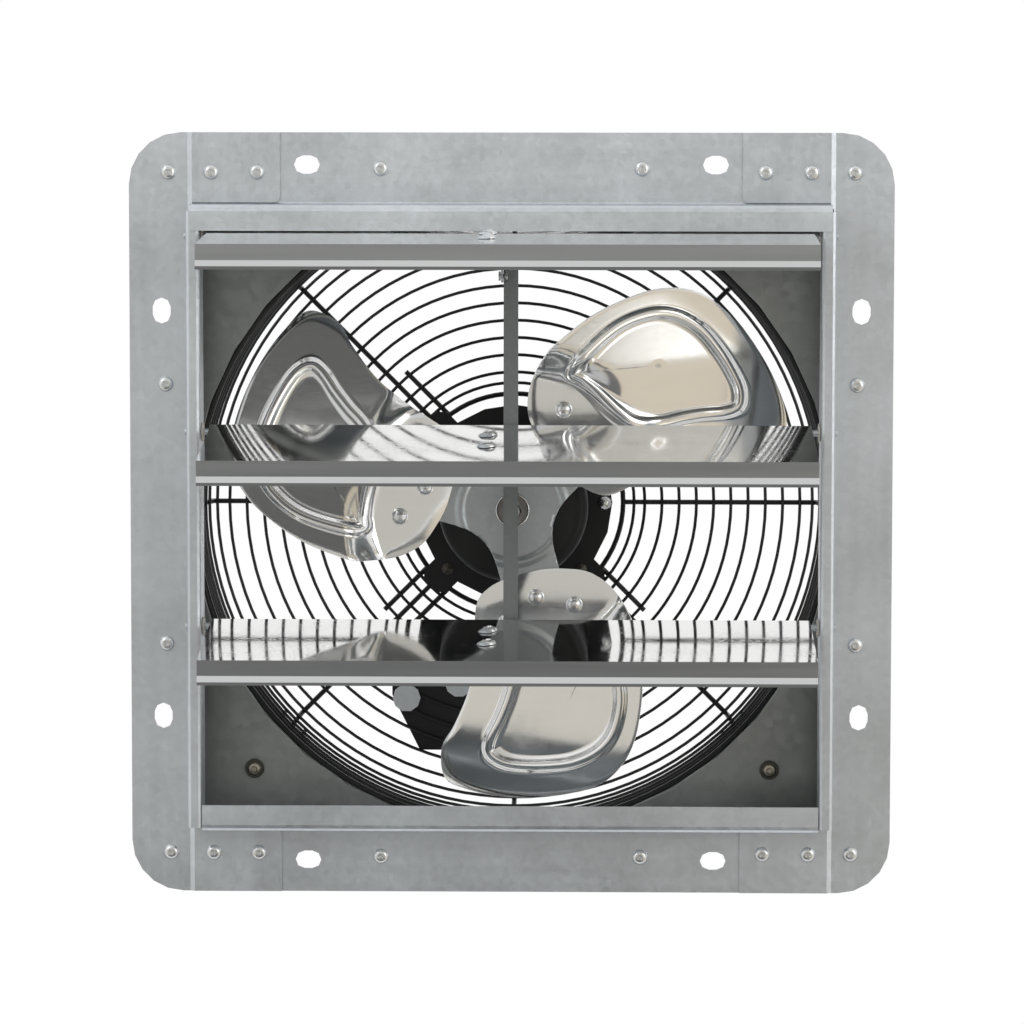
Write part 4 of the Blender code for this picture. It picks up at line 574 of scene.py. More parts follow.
def piece(name, work, body, look, replaced=(), sharp=35.0, wall=0.0, flat_over=None, second=None):
    """Make an object of a bmesh, give it its finish and let it ride on its body."""
    bmesh.ops.remove_doubles(work, verts=work.verts, dist=0.000002)
    bmesh.ops.recalc_face_normals(work, faces=work.faces)
    mesh = bpy.data.meshes.new(name)
    work.to_mesh(mesh)
    work.free()
    mesh.shade_smooth()
    mesh.set_sharp_from_angle(angle=math.radians(sharp))
    if flat_over:
        for polygon in mesh.polygons:
            polygon.use_smooth = polygon.area < flat_over
    made = bpy.data.objects.new(name, mesh)
    bpy.context.scene.collection.objects.link(made)
    mesh.materials.append(finish(look))
    if second:
        mesh.materials.append(finish(second))
    if wall:
        solid = made.modifiers.new("Sheet", "SOLIDIFY")
        solid.thickness = wall
        solid.offset = 0.0
    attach(made, body)
    if replaced:
        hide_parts(*replaced)
    return made


def dress(nodes, look):
    """Give kept CAD nodes a finish."""
    for node in nodes:
        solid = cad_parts[node]
        solid.data.materials.clear()
        solid.data.materials.append(finish(look))


# Operators

class FAN_OT_finish_solids(bpy.types.Operator):
    """Give every solid that stays in view its finish"""
    bl_idname = "exhaust_fan.finish_solids"
    bl_label = "Finish the solids"

    def execute(self, context):
        numbers = ("1", "2", "3", "4")
        dress(["side_frame_left", "side_frame_right"], "frame_side")
        dress(["top_frame", "bottom_frame"], "frame_cross")
        dress(["wall_sleeve"], "sleeve")
        dress(["orifice_panel"], "panel")
        dress(["guard_back", "guard_side"], "wire")
        dress(["guard_bolt_" + number for number in numbers], "bolt")
        dress(["guard_nut_" + number for number in numbers], "bolt")
        dress(["guard_clamp_" + number for number in numbers], "motor")
        dress(["motor_screw_" + number for number in numbers], "washer")
        dress(["motor_front_cover", "motor_shell", "motor_rear_cover", "motor_mount_plate"], "motor")
        dress(["motor_stator", "motor_rotor"], "core")
        dress(["motor_shaft", "front_bearing", "rear_bearing", "hub_washer"], "steel")
        # The steel hub nut takes the dark core finish as a painted dark reflection.
        dress(["hub_nut"], "core")
        dress(["fan_spider"], "spider")
        dress(["fan_blade_1", "fan_blade_2", "fan_blade_3"], "blade")
        dress(["junction_box", "junction_box_lid"], "box")
        dress(["box_clamp_screw_1", "box_clamp_screw_2"], "linkage")
        dress(["cable_gland"], "nylon")
        dress(["tie_bar"], "tie_bar")
        for name in SHUTTER_NAMES:
            dress(["shutter_" + name], "shutter")
            dress(["link_arm_" + name], "linkage")
            dress(["link_pin_" + name], "steel")
            dress(["pivot_bush_" + name + "_left", "pivot_bush_" + name + "_right"], "nylon")
        return {"FINISHED"}


HUB_RING_RADIUS = 0.0744
THIN_HUB_RING_RADIUS = 0.0819
FIRST_RING_RADIUS = 0.0892
HUB_RING_STEPS = 72
FLAT_RING_STEPS = 96
SIDE_RING_STEPS = 112
SPOKE_STARTS = (0.0727, 0.0823)
CLAMP_ROD_SIDE = 0.0103
CLAMP_ROD_RUN = (0.0748, 0.1158)
SIDE_SPOKE_TOP_RADIUS = 0.2070
SIDE_SPOKE_HOOK = 0.0013
FOOT_HALF_WIDTH = 0.0095
FOOT_INSET = 0.0010
FOOT_BEND = 0.004
LEG_MIDDLE = (0.2135, 0.085)
LEG_LOW = 0.058


def guard_wall(share):
    """Radius and depth of the guard's side, from its back corner at 0 to its base at 1."""
    bulge = math.sqrt(1 - (1 - share) ** 2)
    radius = GUARD_CORNER_RADIUS + (GUARD_BASE_RADIUS - GUARD_CORNER_RADIUS) * bulge
    return radius, GUARD_BACK + (GUARD_BASE - GUARD_BACK) * share


class FAN_OT_add_guard_back(bpy.types.Operator):
    """Round wires of the guard's flat back"""
    bl_idname = "exhaust_fan.add_guard_back"
    bl_label = "Add the guard's back"

    def execute(self, context):
        sizes = context.scene.fan_guard
        work = bmesh.new()
        ring_wire(work, HUB_RING_RADIUS, GUARD_BACK, sizes.spoke_wire, HUB_RING_STEPS)
        ring_wire(work, THIN_HUB_RING_RADIUS, GUARD_BACK, sizes.ring_wire, HUB_RING_STEPS)
        for index in range(sizes.ring_count):
            radius = FIRST_RING_RADIUS + sizes.ring_pitch * index
            ring_wire(work, radius, GUARD_BACK, sizes.ring_wire, FLAT_RING_STEPS)
        ring_wire(work, GUARD_CORNER_RADIUS, GUARD_BACK, sizes.ring_wire, SIDE_RING_STEPS)
        level = GUARD_BACK + sizes.ring_wire + sizes.spoke_wire - WELD
        reach = GUARD_CORNER_RADIUS + sizes.ring_wire + 2 * sizes.spoke_wire + CLEARANCE
        for index in range(8):
            place = turned_by(45 * index)
            diagonal = index % 2
            start = (SPOKE_STARTS[diagonal], level, 0.0)
            straight_wire(work, start, (reach, level, 0.0), sizes.spoke_wire, place)
            for side in (-CLAMP_ROD_SIDE, CLAMP_ROD_SIDE) if diagonal else ():
                start, end = ((radius, level, side) for radius in CLAMP_ROD_RUN)
                straight_wire(work, start, end, sizes.spoke_wire, place)
        piece("guard_back_wires", work, "housing", "wire", ("guard_back",))
        return {"FINISHED"}


class FAN_OT_add_guard_side(bpy.types.Operator):
    """Round wires of the guard's side with its feet"""
    bl_idname = "exhaust_fan.add_guard_side"
    bl_label = "Add the guard's side"

    def execute(self, context):
        sizes = context.scene.fan_guard
        work = bmesh.new()
        count = sizes.side_count
        for index in range(count):
            radius, depth = guard_wall((index + 1) / (count + 1))
            ring_wire(work, radius, depth, sizes.ring_wire, SIDE_RING_STEPS)
        ring_wire(work, GUARD_BASE_RADIUS, GUARD_BASE, sizes.base_wire, SIDE_RING_STEPS, 10)
        stand_off = sizes.ring_wire + sizes.spoke_wire - WELD
        outside = GUARD_BASE_RADIUS + sizes.base_wire + sizes.spoke_wire - WELD
        path = [(SIDE_SPOKE_TOP_RADIUS, GUARD_BACK + rise, 0.0) for rise in (WELD, -SIDE_SPOKE_HOOK)]
        for step in range(1, count + 1):
            radius, depth = guard_wall(step / (count + 1))
            path.append((radius + stand_off, depth, 0.0))
        path.append((outside, GUARD_BASE - sizes.base_wire, 0.0))
        for index in range(8):
            bent_wire(work, path, sizes.spoke_wire, place=turned_by(45 * index))
        bolt = math.hypot(BOLT_PLACE, BOLT_PLACE)
        floor = PANEL_BACK + CLEARANCE + sizes.spoke_wire
        top_radius, top_depth = guard_wall(2 / (count + 1))
        foot = outside - FOOT_INSET
        leg = [(top_radius + stand_off, top_depth + FOOT_BEND), (LEG_MIDDLE[0] + stand_off, LEG_MIDDLE[1]),
               (foot, LEG_LOW), (foot, floor + FOOT_BEND), (foot + 0.3 * FOOT_BEND, floor + 0.3 * FOOT_BEND),
               (foot + FOOT_BEND, floor)]
        path = [(radius, depth, -FOOT_HALF_WIDTH) for radius, depth in leg]
        path += [(u, floor, v) for u, v in arc((bolt, 0.0), FOOT_HALF_WIDTH, -90, 90, 14)]
        path += [(radius, depth, FOOT_HALF_WIDTH) for radius, depth in reversed(leg)]
        for angle in DIAGONALS:
            bent_wire(work, path, sizes.spoke_wire, place=turned_by(angle))
        piece("guard_side_wires", work, "housing", "wire", ("guard_side",))
        return {"FINISHED"}


BLADE_OUTLINE_ANGLES = (0, -20, -32, -36, -33, -29, -28.6, -30, -31.4, -29.5, -26, -18,
                        -8, 2, 8, 13, 18, 23, 28, 33, 37, 36, 26, 13)
BLADE_OUTLINE_SHARES = (0.220, 0.235, 0.279, 0.337, 0.420, 0.560, 0.660, 0.781, 0.870, 0.962, 0.990,
                        1.0, 1.0, 0.990, 0.952, 0.890, 0.806, 0.722, 0.632, 0.548, 0.434, 0.335,
                        0.264, 0.228)
RIDGE_ANGLES = (22, 19, 15, 10, 5, -1, -7, -13, -17.5, -20.5, -20.5, -18.5, -16.5, -14.5, -9.5, -1.5,
                9.5, 17)
RIDGE_SHARES = (0.515, 0.626, 0.738, 0.825, 0.872, 0.892, 0.892, 0.888, 0.879, 0.850, 0.800, 0.730,
                0.660, 0.590, 0.520, 0.496, 0.498, 0.505)
RIDGE_CENTRE_SHARE = 0.704
RIDGE_HALF_WIDTH = 0.0046
RIDGE_SECTION = ((1.0, 0.0), (0.86, 0.10), (0.68, 0.42), (0.50, 0.84), (0.32, 0.99), (0.0, 1.0),
                 (-0.32, 0.99), (-0.50, 0.84), (-0.68, 0.42), (-0.86, 0.10), (-1.0, 0.0))
RIM_SHARES = (0.75, 0.5, 0.3, 0.12)
FLOOR_SHARES = (0.9, 0.75, 0.6, 0.45, 0.3, 0.15, 0.0)
TWIST_START = 0.0900
TWIST_END = 0.1150
BLADE_ROOM = 0.0015
BLADE_RIVETS = ((0.0606, 0.0), (0.0757, -18.2), (0.0757, 18.2))


def smooth_outline(points, parts):
    """More points on a closed curve through the given ones."""
    count = len(points)
    result = []
    for index in range(count):
        a, b, c, d = (Vector(points[(index + shift) % count]) for shift in (-1, 0, 1, 2))
        for step in range(parts):
            t = step / parts
            result.append(0.5 * ((2 * b) + (c - a) * t + (2 * a - 5 * b + 4 * c - d) * t * t
                                 + (3 * b - a - 3 * c + d) * t ** 3))
    return result


def around(reach, angles, shares, parts):
    """A smooth closed curve through points given by angle and share of the reach."""
    points = [(reach * share * math.cos(math.radians(angle)), reach * share * math.sin(math.radians(angle)))
              for angle, share in zip(angles, shares)]
    return smooth_outline(points, parts)


def farthest_hit(centre, aim, loop):
    """Where a ray from the centre last crosses a closed curve."""
    beyond = centre + (aim - centre).normalized()
    hits = [intersect_line_line_2d(centre, beyond, near, far) for near, far in zip(loop, loop[1:] + loop[:1])]
    return max((hit for hit in hits if hit is not None), key=lambda hit: (hit - centre).length)


def blade_rings(sizes):
    """Rings of the pressed blade from its rim to the middle of its floor: places and lifts."""
    rim = around(sizes.reach, BLADE_OUTLINE_ANGLES, BLADE_OUTLINE_SHARES, 10)
    crest = around(sizes.reach, RIDGE_ANGLES, RIDGE_SHARES, 9)
    centre = Vector((sizes.reach * RIDGE_CENTRE_SHARE, 0.0))
    outward = []
    for before, here, after in zip(crest[-1:] + crest[:-1], crest, crest[1:] + crest[:1]):
        across = Vector((after.y - before.y, before.x - after.x)).normalized()
        outward.append(across if across.dot(here - centre) > 0 else -across)
    edge = [farthest_hit(centre, here, rim) for here in crest]
    toe = [here + RIDGE_HALF_WIDTH * across for here, across in zip(crest, outward)]
    foot = [here - RIDGE_HALF_WIDTH * across for here, across in zip(crest, outward)]
    rings = [(edge, 0.0)]
    rings += [([near.lerp(far, share) for near, far in zip(toe, edge)], 0.0) for share in RIM_SHARES]
    rings += [([here + RIDGE_HALF_WIDTH * part * across for here, across in zip(crest, outward)], lift)
              for part, lift in RIDGE_SECTION]
    rings += [([centre.lerp(here, share) for here in foot], 0.0) for share in FLOOR_SHARES]
    return rings


def ringed_sheet(work, rings, placed):
    """A sheet made of rings of points, each ring extruded from the one before."""
    loop = bmesh.ops.create_circle(work, segments=len(rings[0]), radius=1.0)["verts"]
    edges = list({edge for vert in loop for edge in vert.link_edges})
    order = list(loop)
    for vert, spot in zip(order, rings[0]):
        vert.co = placed(spot)
    for ring in rings[1:]:
        grown = bmesh.ops.extrude_edge_only(work, edges=edges)["geom"]
        fresh = set(new_verts(grown))
        edges = [edge for edge in new_edges(grown) if set(edge.verts) <= fresh]
        order = [next(edge.other_vert(vert) for edge in vert.link_edges if edge.other_vert(vert) in fresh)
                 for vert in order]
        for vert, spot in zip(order, ring):
            vert.co = placed(spot)


def blade_depth(place, pitch):
    """Depth of the pitched sheet relative to the arm."""
    twist = smooth_share(place.length, TWIST_START, TWIST_END)
    return -math.tan(pitch) * twist * place.y


class FAN_OT_add_blades(bpy.types.Operator):
    """Pressed blades with their ridge, and the rivets that hold them"""
    bl_idname = "exhaust_fan.add_blades"
    bl_label = "Add the blades"

    def execute(self, context):
        sizes = context.scene.fan_blades
        rings = [[(spot, lift) for spot in places] for places, lift in blade_rings(sizes)]
        front = HUB_DEPTH - CLEARANCE - BLADE_ROOM
        middle = front + BLADE_ROOM / 2
        for number, angle in enumerate(BLADE_ANGLES, start=1):
            work = bmesh.new()
            ringed_sheet(work, rings, lambda at: (
                at[0].x, middle + blade_depth(at[0], sizes.pitch) - at[1] * sizes.ridge, at[0].y))
            bmesh.ops.transform(work, matrix=turned_by(angle), verts=work.verts)
            name = "fan_blade_" + str(number)
            blade = piece("pressed_blade_" + str(number), work, "fan", "blade", (name,),
                          60.0, sizes.sheet)
            edge = blade.modifiers.new("Rim", "BEVEL")
            edge.width = 0.0003
            edge.segments = 2
            edge.limit_method = "ANGLE"
            edge.angle_limit = math.radians(60)

            work = bmesh.new()
            for radius, turn in BLADE_RIVETS:
                place = turned_by(angle + turn) @ Matrix.Translation((radius, front, 0.0))
                place = place @ Matrix.Rotation(math.radians(90), 4, "X")
                head = [(0.0, 0.0024)] + arc((0.0, -0.0046), 0.0070, 78, 44, 5) + [(0.0056, 0.0)]
                lathe(work, head, place, 32)
                tail = [(0.0034, -0.0042), (0.0034, -0.0050), (0.0022, -0.0056), (0.0, -0.0058)]
                lathe(work, tail, place, 24)
            piece("blade_rivets_" + str(number), work, "fan", "rivet")
        return {"FINISHED"}


LARGE_FACE = 0.0006
SHUTTER_RISE = 0.0034
SHUTTER_REAR = 0.0050
LIP_HEIGHT = 0.0100
LIP_FLARE = ((0.0020, 0.0036), (0.0014, 0.0056))
EAR_BACK = -0.0050
EAR_FRONT = 0.0038
EAR_ROUND = 0.00275
EAR_SHEET = (0.0012, 0.0024)
PIN_END = 0.2132
PIN_RADIUS = 0.0022


class FAN_OT_add_shutters(bpy.types.Operator):
    """Folded shutters with their ears and pivot pins"""
    bl_idname = "exhaust_fan.add_shutters"
    bl_label = "Add the shutters"

    def execute(self, context):
        sizes = context.scene.fan_shutters
        half = sizes.width / 2
        rise = SHUTTER_RISE
        front = SHUTTER_REAR - sizes.chord
        for index, name in enumerate(SHUTTER_NAMES):
            work = bmesh.new()
            profile = [(SHUTTER_REAR, rise), (front, rise), (front, rise - LIP_HEIGHT)]
            profile += [(front - out, rise - LIP_HEIGHT - drop) for out, drop in LIP_FLARE]
            folded(work, profile, -half, half, sizes.fold)
            # The lip's faces get the second, darker finish: a painted dark reflection on the same polished
            # sheet.
            for face in work.faces:
                if rise - LIP_HEIGHT < face.calc_center_median().z < rise - sizes.fold / 2:
                    face.material_index = 1
            bmesh.ops.transform(work, matrix=on_shutter(index), verts=work.verts)
            body = "shutter_" + name
            piece("shutter_sheet_" + name, work, body, "shutter", ("shutter_" + name,),
                  30.0, sizes.sheet, LARGE_FACE, "lip_painted_reflection")

            work = bmesh.new()
            for sign in (-1, 1):
                outline = [(EAR_BACK, rise)]
                outline += arc((EAR_BACK + EAR_ROUND, -EAR_ROUND), EAR_ROUND, 180, 270, 4)
                outline += arc((EAR_FRONT - EAR_ROUND, -EAR_ROUND), EAR_ROUND, 270, 360, 4)
                outline += [(EAR_FRONT, rise)]
                side = Matrix(((0, 0, 1, 0), (1, 0, 0, 0), (0, 1, 0, 0), (0, 0, 0, 1)))
                near, far = sorted(sign * (half - inset) for inset in EAR_SHEET)
                prism(work, outline, near, far, on_shutter(index) @ side)
                aim = Matrix.Rotation(math.radians(90 * sign), 4, "Y")
                pin = [(0.0, PIN_END), (PIN_RADIUS - 0.0004, PIN_END), (PIN_RADIUS, PIN_END - 0.0004),
                       (PIN_RADIUS, half - 0.0018), (0.0032, half - 0.0018), (0.0032, half - 0.0035),
                       (0.0028, half - 0.0039), (0.0, half - 0.0039)]
                lathe(work, pin, on_shutter(index) @ aim, 24)
            piece("shutter_pivots_" + name, work, body, "linkage")
        return {"FINISHED"}


def pop_rivet(work, place, radius=0.0050, height=0.0026):
    """Head of a blind rivet with the broken stem in its bore."""
    bore = 0.0016
    dome = [(bore, height - 0.0005), (bore + 0.0003, height)]
    dome += [(radius * share, height * lift) for share, lift in
             ((0.55, 0.97), (0.72, 0.84), (0.86, 0.60), (0.95, 0.32), (1.0, 0.10), (1.0, 0.0))]
    lathe(work, dome, place, 28)
    stem = [(bore, height - 0.0005), (bore, height - 0.0007), (0.0010, height - 0.0007),
            (0.0006, height - 0.0004), (0.0, height - 0.0004)]
    lathe(work, stem, place, 28)


def signed(x, z):
    """The four places that mirror one place left to right and up to down."""
    return [(a * x, b * z) for a in (-1, 1) for b in (-1, 1)]


CORNER_RIVET = 0.22415
ROW_RIVETS = (0.196, 0.166)
EDGE_RIVET = (0.0855, 0.2265)
DOUBLED_FACE = -0.0040
FLANGE_FACE = -0.0025
BRACKET_RIVET_SIDE = -0.0130
BRACKET_RIVET_REACHES = (0.027, 0.064)
BRACKET_SHEET = 0.0007


class FAN_OT_add_frame_rivets(bpy.types.Operator):
    """Blind rivets of the frame and of the shutter brackets"""
    bl_idname = "exhaust_fan.add_frame_rivets"
    bl_label = "Add the rivets"

    def execute(self, context):
        work = bmesh.new()
        for x, z in signed(ROW_RIVETS[0], CORNER_RIVET) + signed(ROW_RIVETS[1], CORNER_RIVET):
            pop_rivet(work, facing_front(x, DOUBLED_FACE, z))
        across, along = signed(*EDGE_RIVET), signed(*reversed(EDGE_RIVET))
        for x, z in signed(CORNER_RIVET, CORNER_RIVET) + across + along:
            pop_rivet(work, facing_front(x, FLANGE_FACE, z))
        piece("frame_rivets", work, "housing", "rivet")
        for index, name in enumerate(SHUTTER_NAMES):
            work = bmesh.new()
            for reach in BRACKET_RIVET_REACHES:
                seat = Matrix.Translation((BRACKET_RIVET_SIDE, -reach, SHUTTER_RISE + BRACKET_SHEET))
                pop_rivet(work, on_shutter(index) @ seat)
            piece("bracket_rivets_" + name, work, "shutter_" + name, "rivet")
        return {"FINISHED"}


MOTOR_RADIUS = 0.0506
MOTOR_BORE = 0.0484
MOTOR_ROUND = 0.0060
MOTOR_FRONT = 0.0780
MOTOR_SHOULDER = 0.0784
MOTOR_REAR = 0.1530
ROUND_CENTRE = MOTOR_RADIUS - MOTOR_ROUND


class FAN_OT_add_motor(bpy.types.Operator):
    """Smooth motor covers and shell"""
    bl_idname = "exhaust_fan.add_motor"
    bl_label = "Add the motor"

    def execute(self, context):
        work = bmesh.new()
        cover = [(0.0055, MOTOR_FRONT), (0.0120, MOTOR_FRONT), (0.0128, 0.0786), (0.0200, 0.0788),
                 (0.0210, MOTOR_FRONT), (0.0400, MOTOR_FRONT), (0.0410, MOTOR_SHOULDER),
                 (0.0440, MOTOR_SHOULDER)]
        cover += arc((ROUND_CENTRE, MOTOR_SHOULDER + MOTOR_ROUND), MOTOR_ROUND, -80, 0, 4)
        cover += [(MOTOR_RADIUS, 0.0920), (MOTOR_BORE, 0.0920), (MOTOR_BORE, 0.0802), (0.0055, 0.0802)]
        lathe(work, cover, facing_indoors(0.0), 72, True)
        piece("motor_front", work, "housing", "motor", ("motor_front_cover",), 25.0)

        work = bmesh.new()
        shell = [(MOTOR_BORE, 0.0923), (MOTOR_RADIUS, 0.0923), (MOTOR_RADIUS, 0.1090), (0.0502, 0.1094),
                 (0.0502, 0.1106), (MOTOR_RADIUS, 0.1110), (MOTOR_RADIUS, 0.1247), (MOTOR_BORE, 0.1247)]
        lathe(work, shell, facing_indoors(0.0), 72, True)
        piece("motor_barrel", work, "housing", "motor", ("motor_shell",), 25.0)

        work = bmesh.new()
        bend = MOTOR_REAR - MOTOR_ROUND
        rear = [(MOTOR_BORE, 0.1283), (MOTOR_RADIUS, 0.1283), (MOTOR_RADIUS, bend)]
        rear += arc((ROUND_CENTRE, bend), MOTOR_ROUND, 20, 80, 3)
        rear += [(0.0440, MOTOR_REAR), (0.0300, MOTOR_REAR), (0.0290, 0.1520), (0.0180, 0.1520),
                 (0.0170, MOTOR_REAR), (0.0057, MOTOR_REAR), (0.0057, 0.1508), (MOTOR_BORE, 0.1508)]
        lathe(work, rear, facing_indoors(0.0), 72, True)
        piece("motor_rear", work, "housing", "motor", ("motor_rear_cover",), 25.0)
        return {"FINISHED"}


class FAN_OT_add_hub(bpy.types.Operator):
    """Hub washer with a rolled rim round a dark disc of painted shade and dark reflection inside the hub"""
    bl_idname = "exhaust_fan.add_hub"
    bl_label = "Add the hub"

    def execute(self, context):
        seat = HUB_DEPTH - CLEARANCE
        work = bmesh.new()
        ring = [(0.0114, seat), (0.0114, seat - 0.0012)]
        ring += arc((0.0108, seat - 0.0014), 0.0006, -10, -170, 4)
        ring += [(0.0102, seat - 0.0008), (0.0102, seat)]
        lathe(work, ring, facing_indoors(0.0), 56, True)
        piece("hub_ring", work, "fan", "rivet", ("hub_washer",), 25.0)
        # A dark disc inside the ring, in the laminated core's colour: painted shade and dark reflection of
        # the hub's bore.
        work = bmesh.new()
        floor = [(0.0053, seat), (0.0100, seat), (0.0100, seat - 0.0006), (0.0053, seat - 0.0004)]
        lathe(work, floor, facing_indoors(0.0), 48, True)
        piece("hub_painted_shade_disc", work, "fan", "core")
        return {"FINISHED"}


SPIDER_HALF_ARM = 0.0200
SPIDER_THROAT = 0.0289
SPIDER_REACH = 0.0840
SPIDER_SHEET = 0.0015
SPIDER_RIB_RADIUS = 0.0352
SPIDER_RIB_WIDTH = 0.0042
SPIDER_RIB_HEIGHT = 0.0014
SPIDER_BORE = 0.0054
SPIDER_RADII = (0.078, 0.070, 0.062, 0.055, 0.049, 0.044, 0.0405, 0.0394, 0.0384, 0.0374, 0.0363, 0.0352,
                0.0341, 0.0330, 0.0320, 0.0310, 0.0295, 0.026, 0.021, 0.016, 0.011, SPIDER_BORE)


def spider_edge(angle):
    """Radius of the spider's edge: round arm ends, straight arm sides and hollow throats."""
    off = abs((angle + 60) % 120 - 60)
    turn = math.radians(off)
    end_centre = SPIDER_REACH - SPIDER_HALF_ARM
    if off <= math.degrees(math.atan2(SPIDER_HALF_ARM, end_centre)):
        rounding = math.sqrt(SPIDER_HALF_ARM ** 2 - (end_centre * math.sin(turn)) ** 2)
        return end_centre * math.cos(turn) + rounding
    corner = SPIDER_HALF_ARM / math.sin(math.radians(60))
    hollow = (SPIDER_THROAT - corner) / (1 / math.sin(math.radians(60)) - 1)
    away = SPIDER_THROAT + hollow
    if off <= math.degrees(math.atan2(SPIDER_HALF_ARM, away / 2)):
        return SPIDER_HALF_ARM / math.sin(turn)
    turn = math.radians(60 - off)
    return away * math.cos(turn) - math.sqrt(hollow ** 2 - (away * math.sin(turn)) ** 2)


class FAN_OT_add_spider(bpy.types.Operator):
    """Pressed spider with hollow throats, a pressed rib round the hub and its boss"""
    bl_idname = "exhaust_fan.add_spider"
    bl_label = "Add the spider"

    def execute(self, context):
        middle = HUB_DEPTH + SPIDER_SHEET / 2

        def placed(at):
            off = (at.length - SPIDER_RIB_RADIUS) / SPIDER_RIB_WIDTH
            lift = SPIDER_RIB_HEIGHT * (1 + math.cos(math.pi * off)) / 2 if abs(off) < 1 else 0.0
            return at.x, middle - lift, at.y

        edge = [Vector((math.cos(math.radians(angle)), math.sin(math.radians(angle)))) * spider_edge(angle)
                for angle in range(360)]
        rings = [edge] + [[spot.normalized() * min(spot.length, radius) for spot in edge]
                          for radius in SPIDER_RADII]
        work = bmesh.new()
        ringed_sheet(work, rings, placed)
        bmesh.ops.dissolve_degenerate(work, dist=0.000001, edges=work.edges)
        bmesh.ops.transform(work, matrix=turned_by(BLADE_ANGLES[0]), verts=work.verts)
        piece("pressed_spider", work, "fan", "spider", ("fan_spider",), 40.0, SPIDER_SHEET)
        boss_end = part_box("fan_spider")[1][1]
        if boss_end - HUB_DEPTH > 2 * SPIDER_SHEET:
            work = bmesh.new()
            boss = [(SPIDER_BORE, HUB_DEPTH + SPIDER_SHEET), (0.0110, HUB_DEPTH + SPIDER_SHEET),
                    (0.0110, boss_end - 0.0008), (0.0102, boss_end), (SPIDER_BORE, boss_end)]
            lathe(work, boss, facing_indoors(0.0), 40, True)
            piece("spider_boss", work, "fan", "spider")
        return {"FINISHED"}


class FAN_OT_add_bolts(bpy.types.Operator):
    """Domed guard bolts on their washers, and the bright screw of the motor plate"""
    bl_idname = "exhaust_fan.add_bolts"
    bl_label = "Add the bolts"

    def execute(self, context):
        washers = bmesh.new()
        for number in ("1", "2", "3", "4"):
            low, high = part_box("guard_bolt_" + number)
            x, z = (low[0] + high[0]) / 2, (low[2] + high[2]) / 2
            place = facing_front(x, low[1], z)
            washer = [(0.0, -0.0006), (0.0060, -0.0006), (0.0063, -0.0010), (0.0063, -0.0026),
                      (0.0, -0.0026)]
            lathe(washers, washer, place, 32)
            head = bmesh.new()
            lathe(head, [(0.0, 0.0010), (0.0014, 0.0010), (0.0020, 0.0016), (0.0036, 0.0012), (0.0046, 0.0),
                         (0.0047, -0.0006), (0.0, -0.0006)], place, 28)
            piece("guard_bolt_head_" + number, head, "housing", "bolt")
        piece("guard_bolt_washers", washers, "housing", "washer")
        work = bmesh.new()
        plate_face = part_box("motor_mount_plate")[0][1]
        dome = [(0.0, 0.0034), (0.0012, 0.0033), (0.0034, 0.0025), (0.0047, 0.0012), (0.0051, 0.0),
                (0.0, 0.0)]
        lathe(work, dome, facing_front(0.0620, plate_face, -0.0020), 28)
        piece("plate_screw", work, "housing", "rivet")
        return {"FINISHED"}


FLOOR_HEIGHT = -0.62
SKY = (0.80, 0.82, 0.84, 1.0)
SKY_STRENGTH = 0.55
PHOTO_WIDTH = 1024
SENSOR_WIDTH = 36.0
FOCAL_PIXELS = 4566.6
SHIFT_PIXELS = (1.1, 2.4)


def seen_share(tree):
    """1 for what the camera sees, in a mirror or through glass too, and 0 for light on matt surfaces."""
    path = tree.nodes.new("ShaderNodeLightPath")
    indirect = maths(tree, "MAXIMUM", path.outputs["Is Glossy Ray"], path.outputs["Is Transmission Ray"])
    return maths(tree, "MAXIMUM", path.outputs["Is Camera Ray"], indirect)


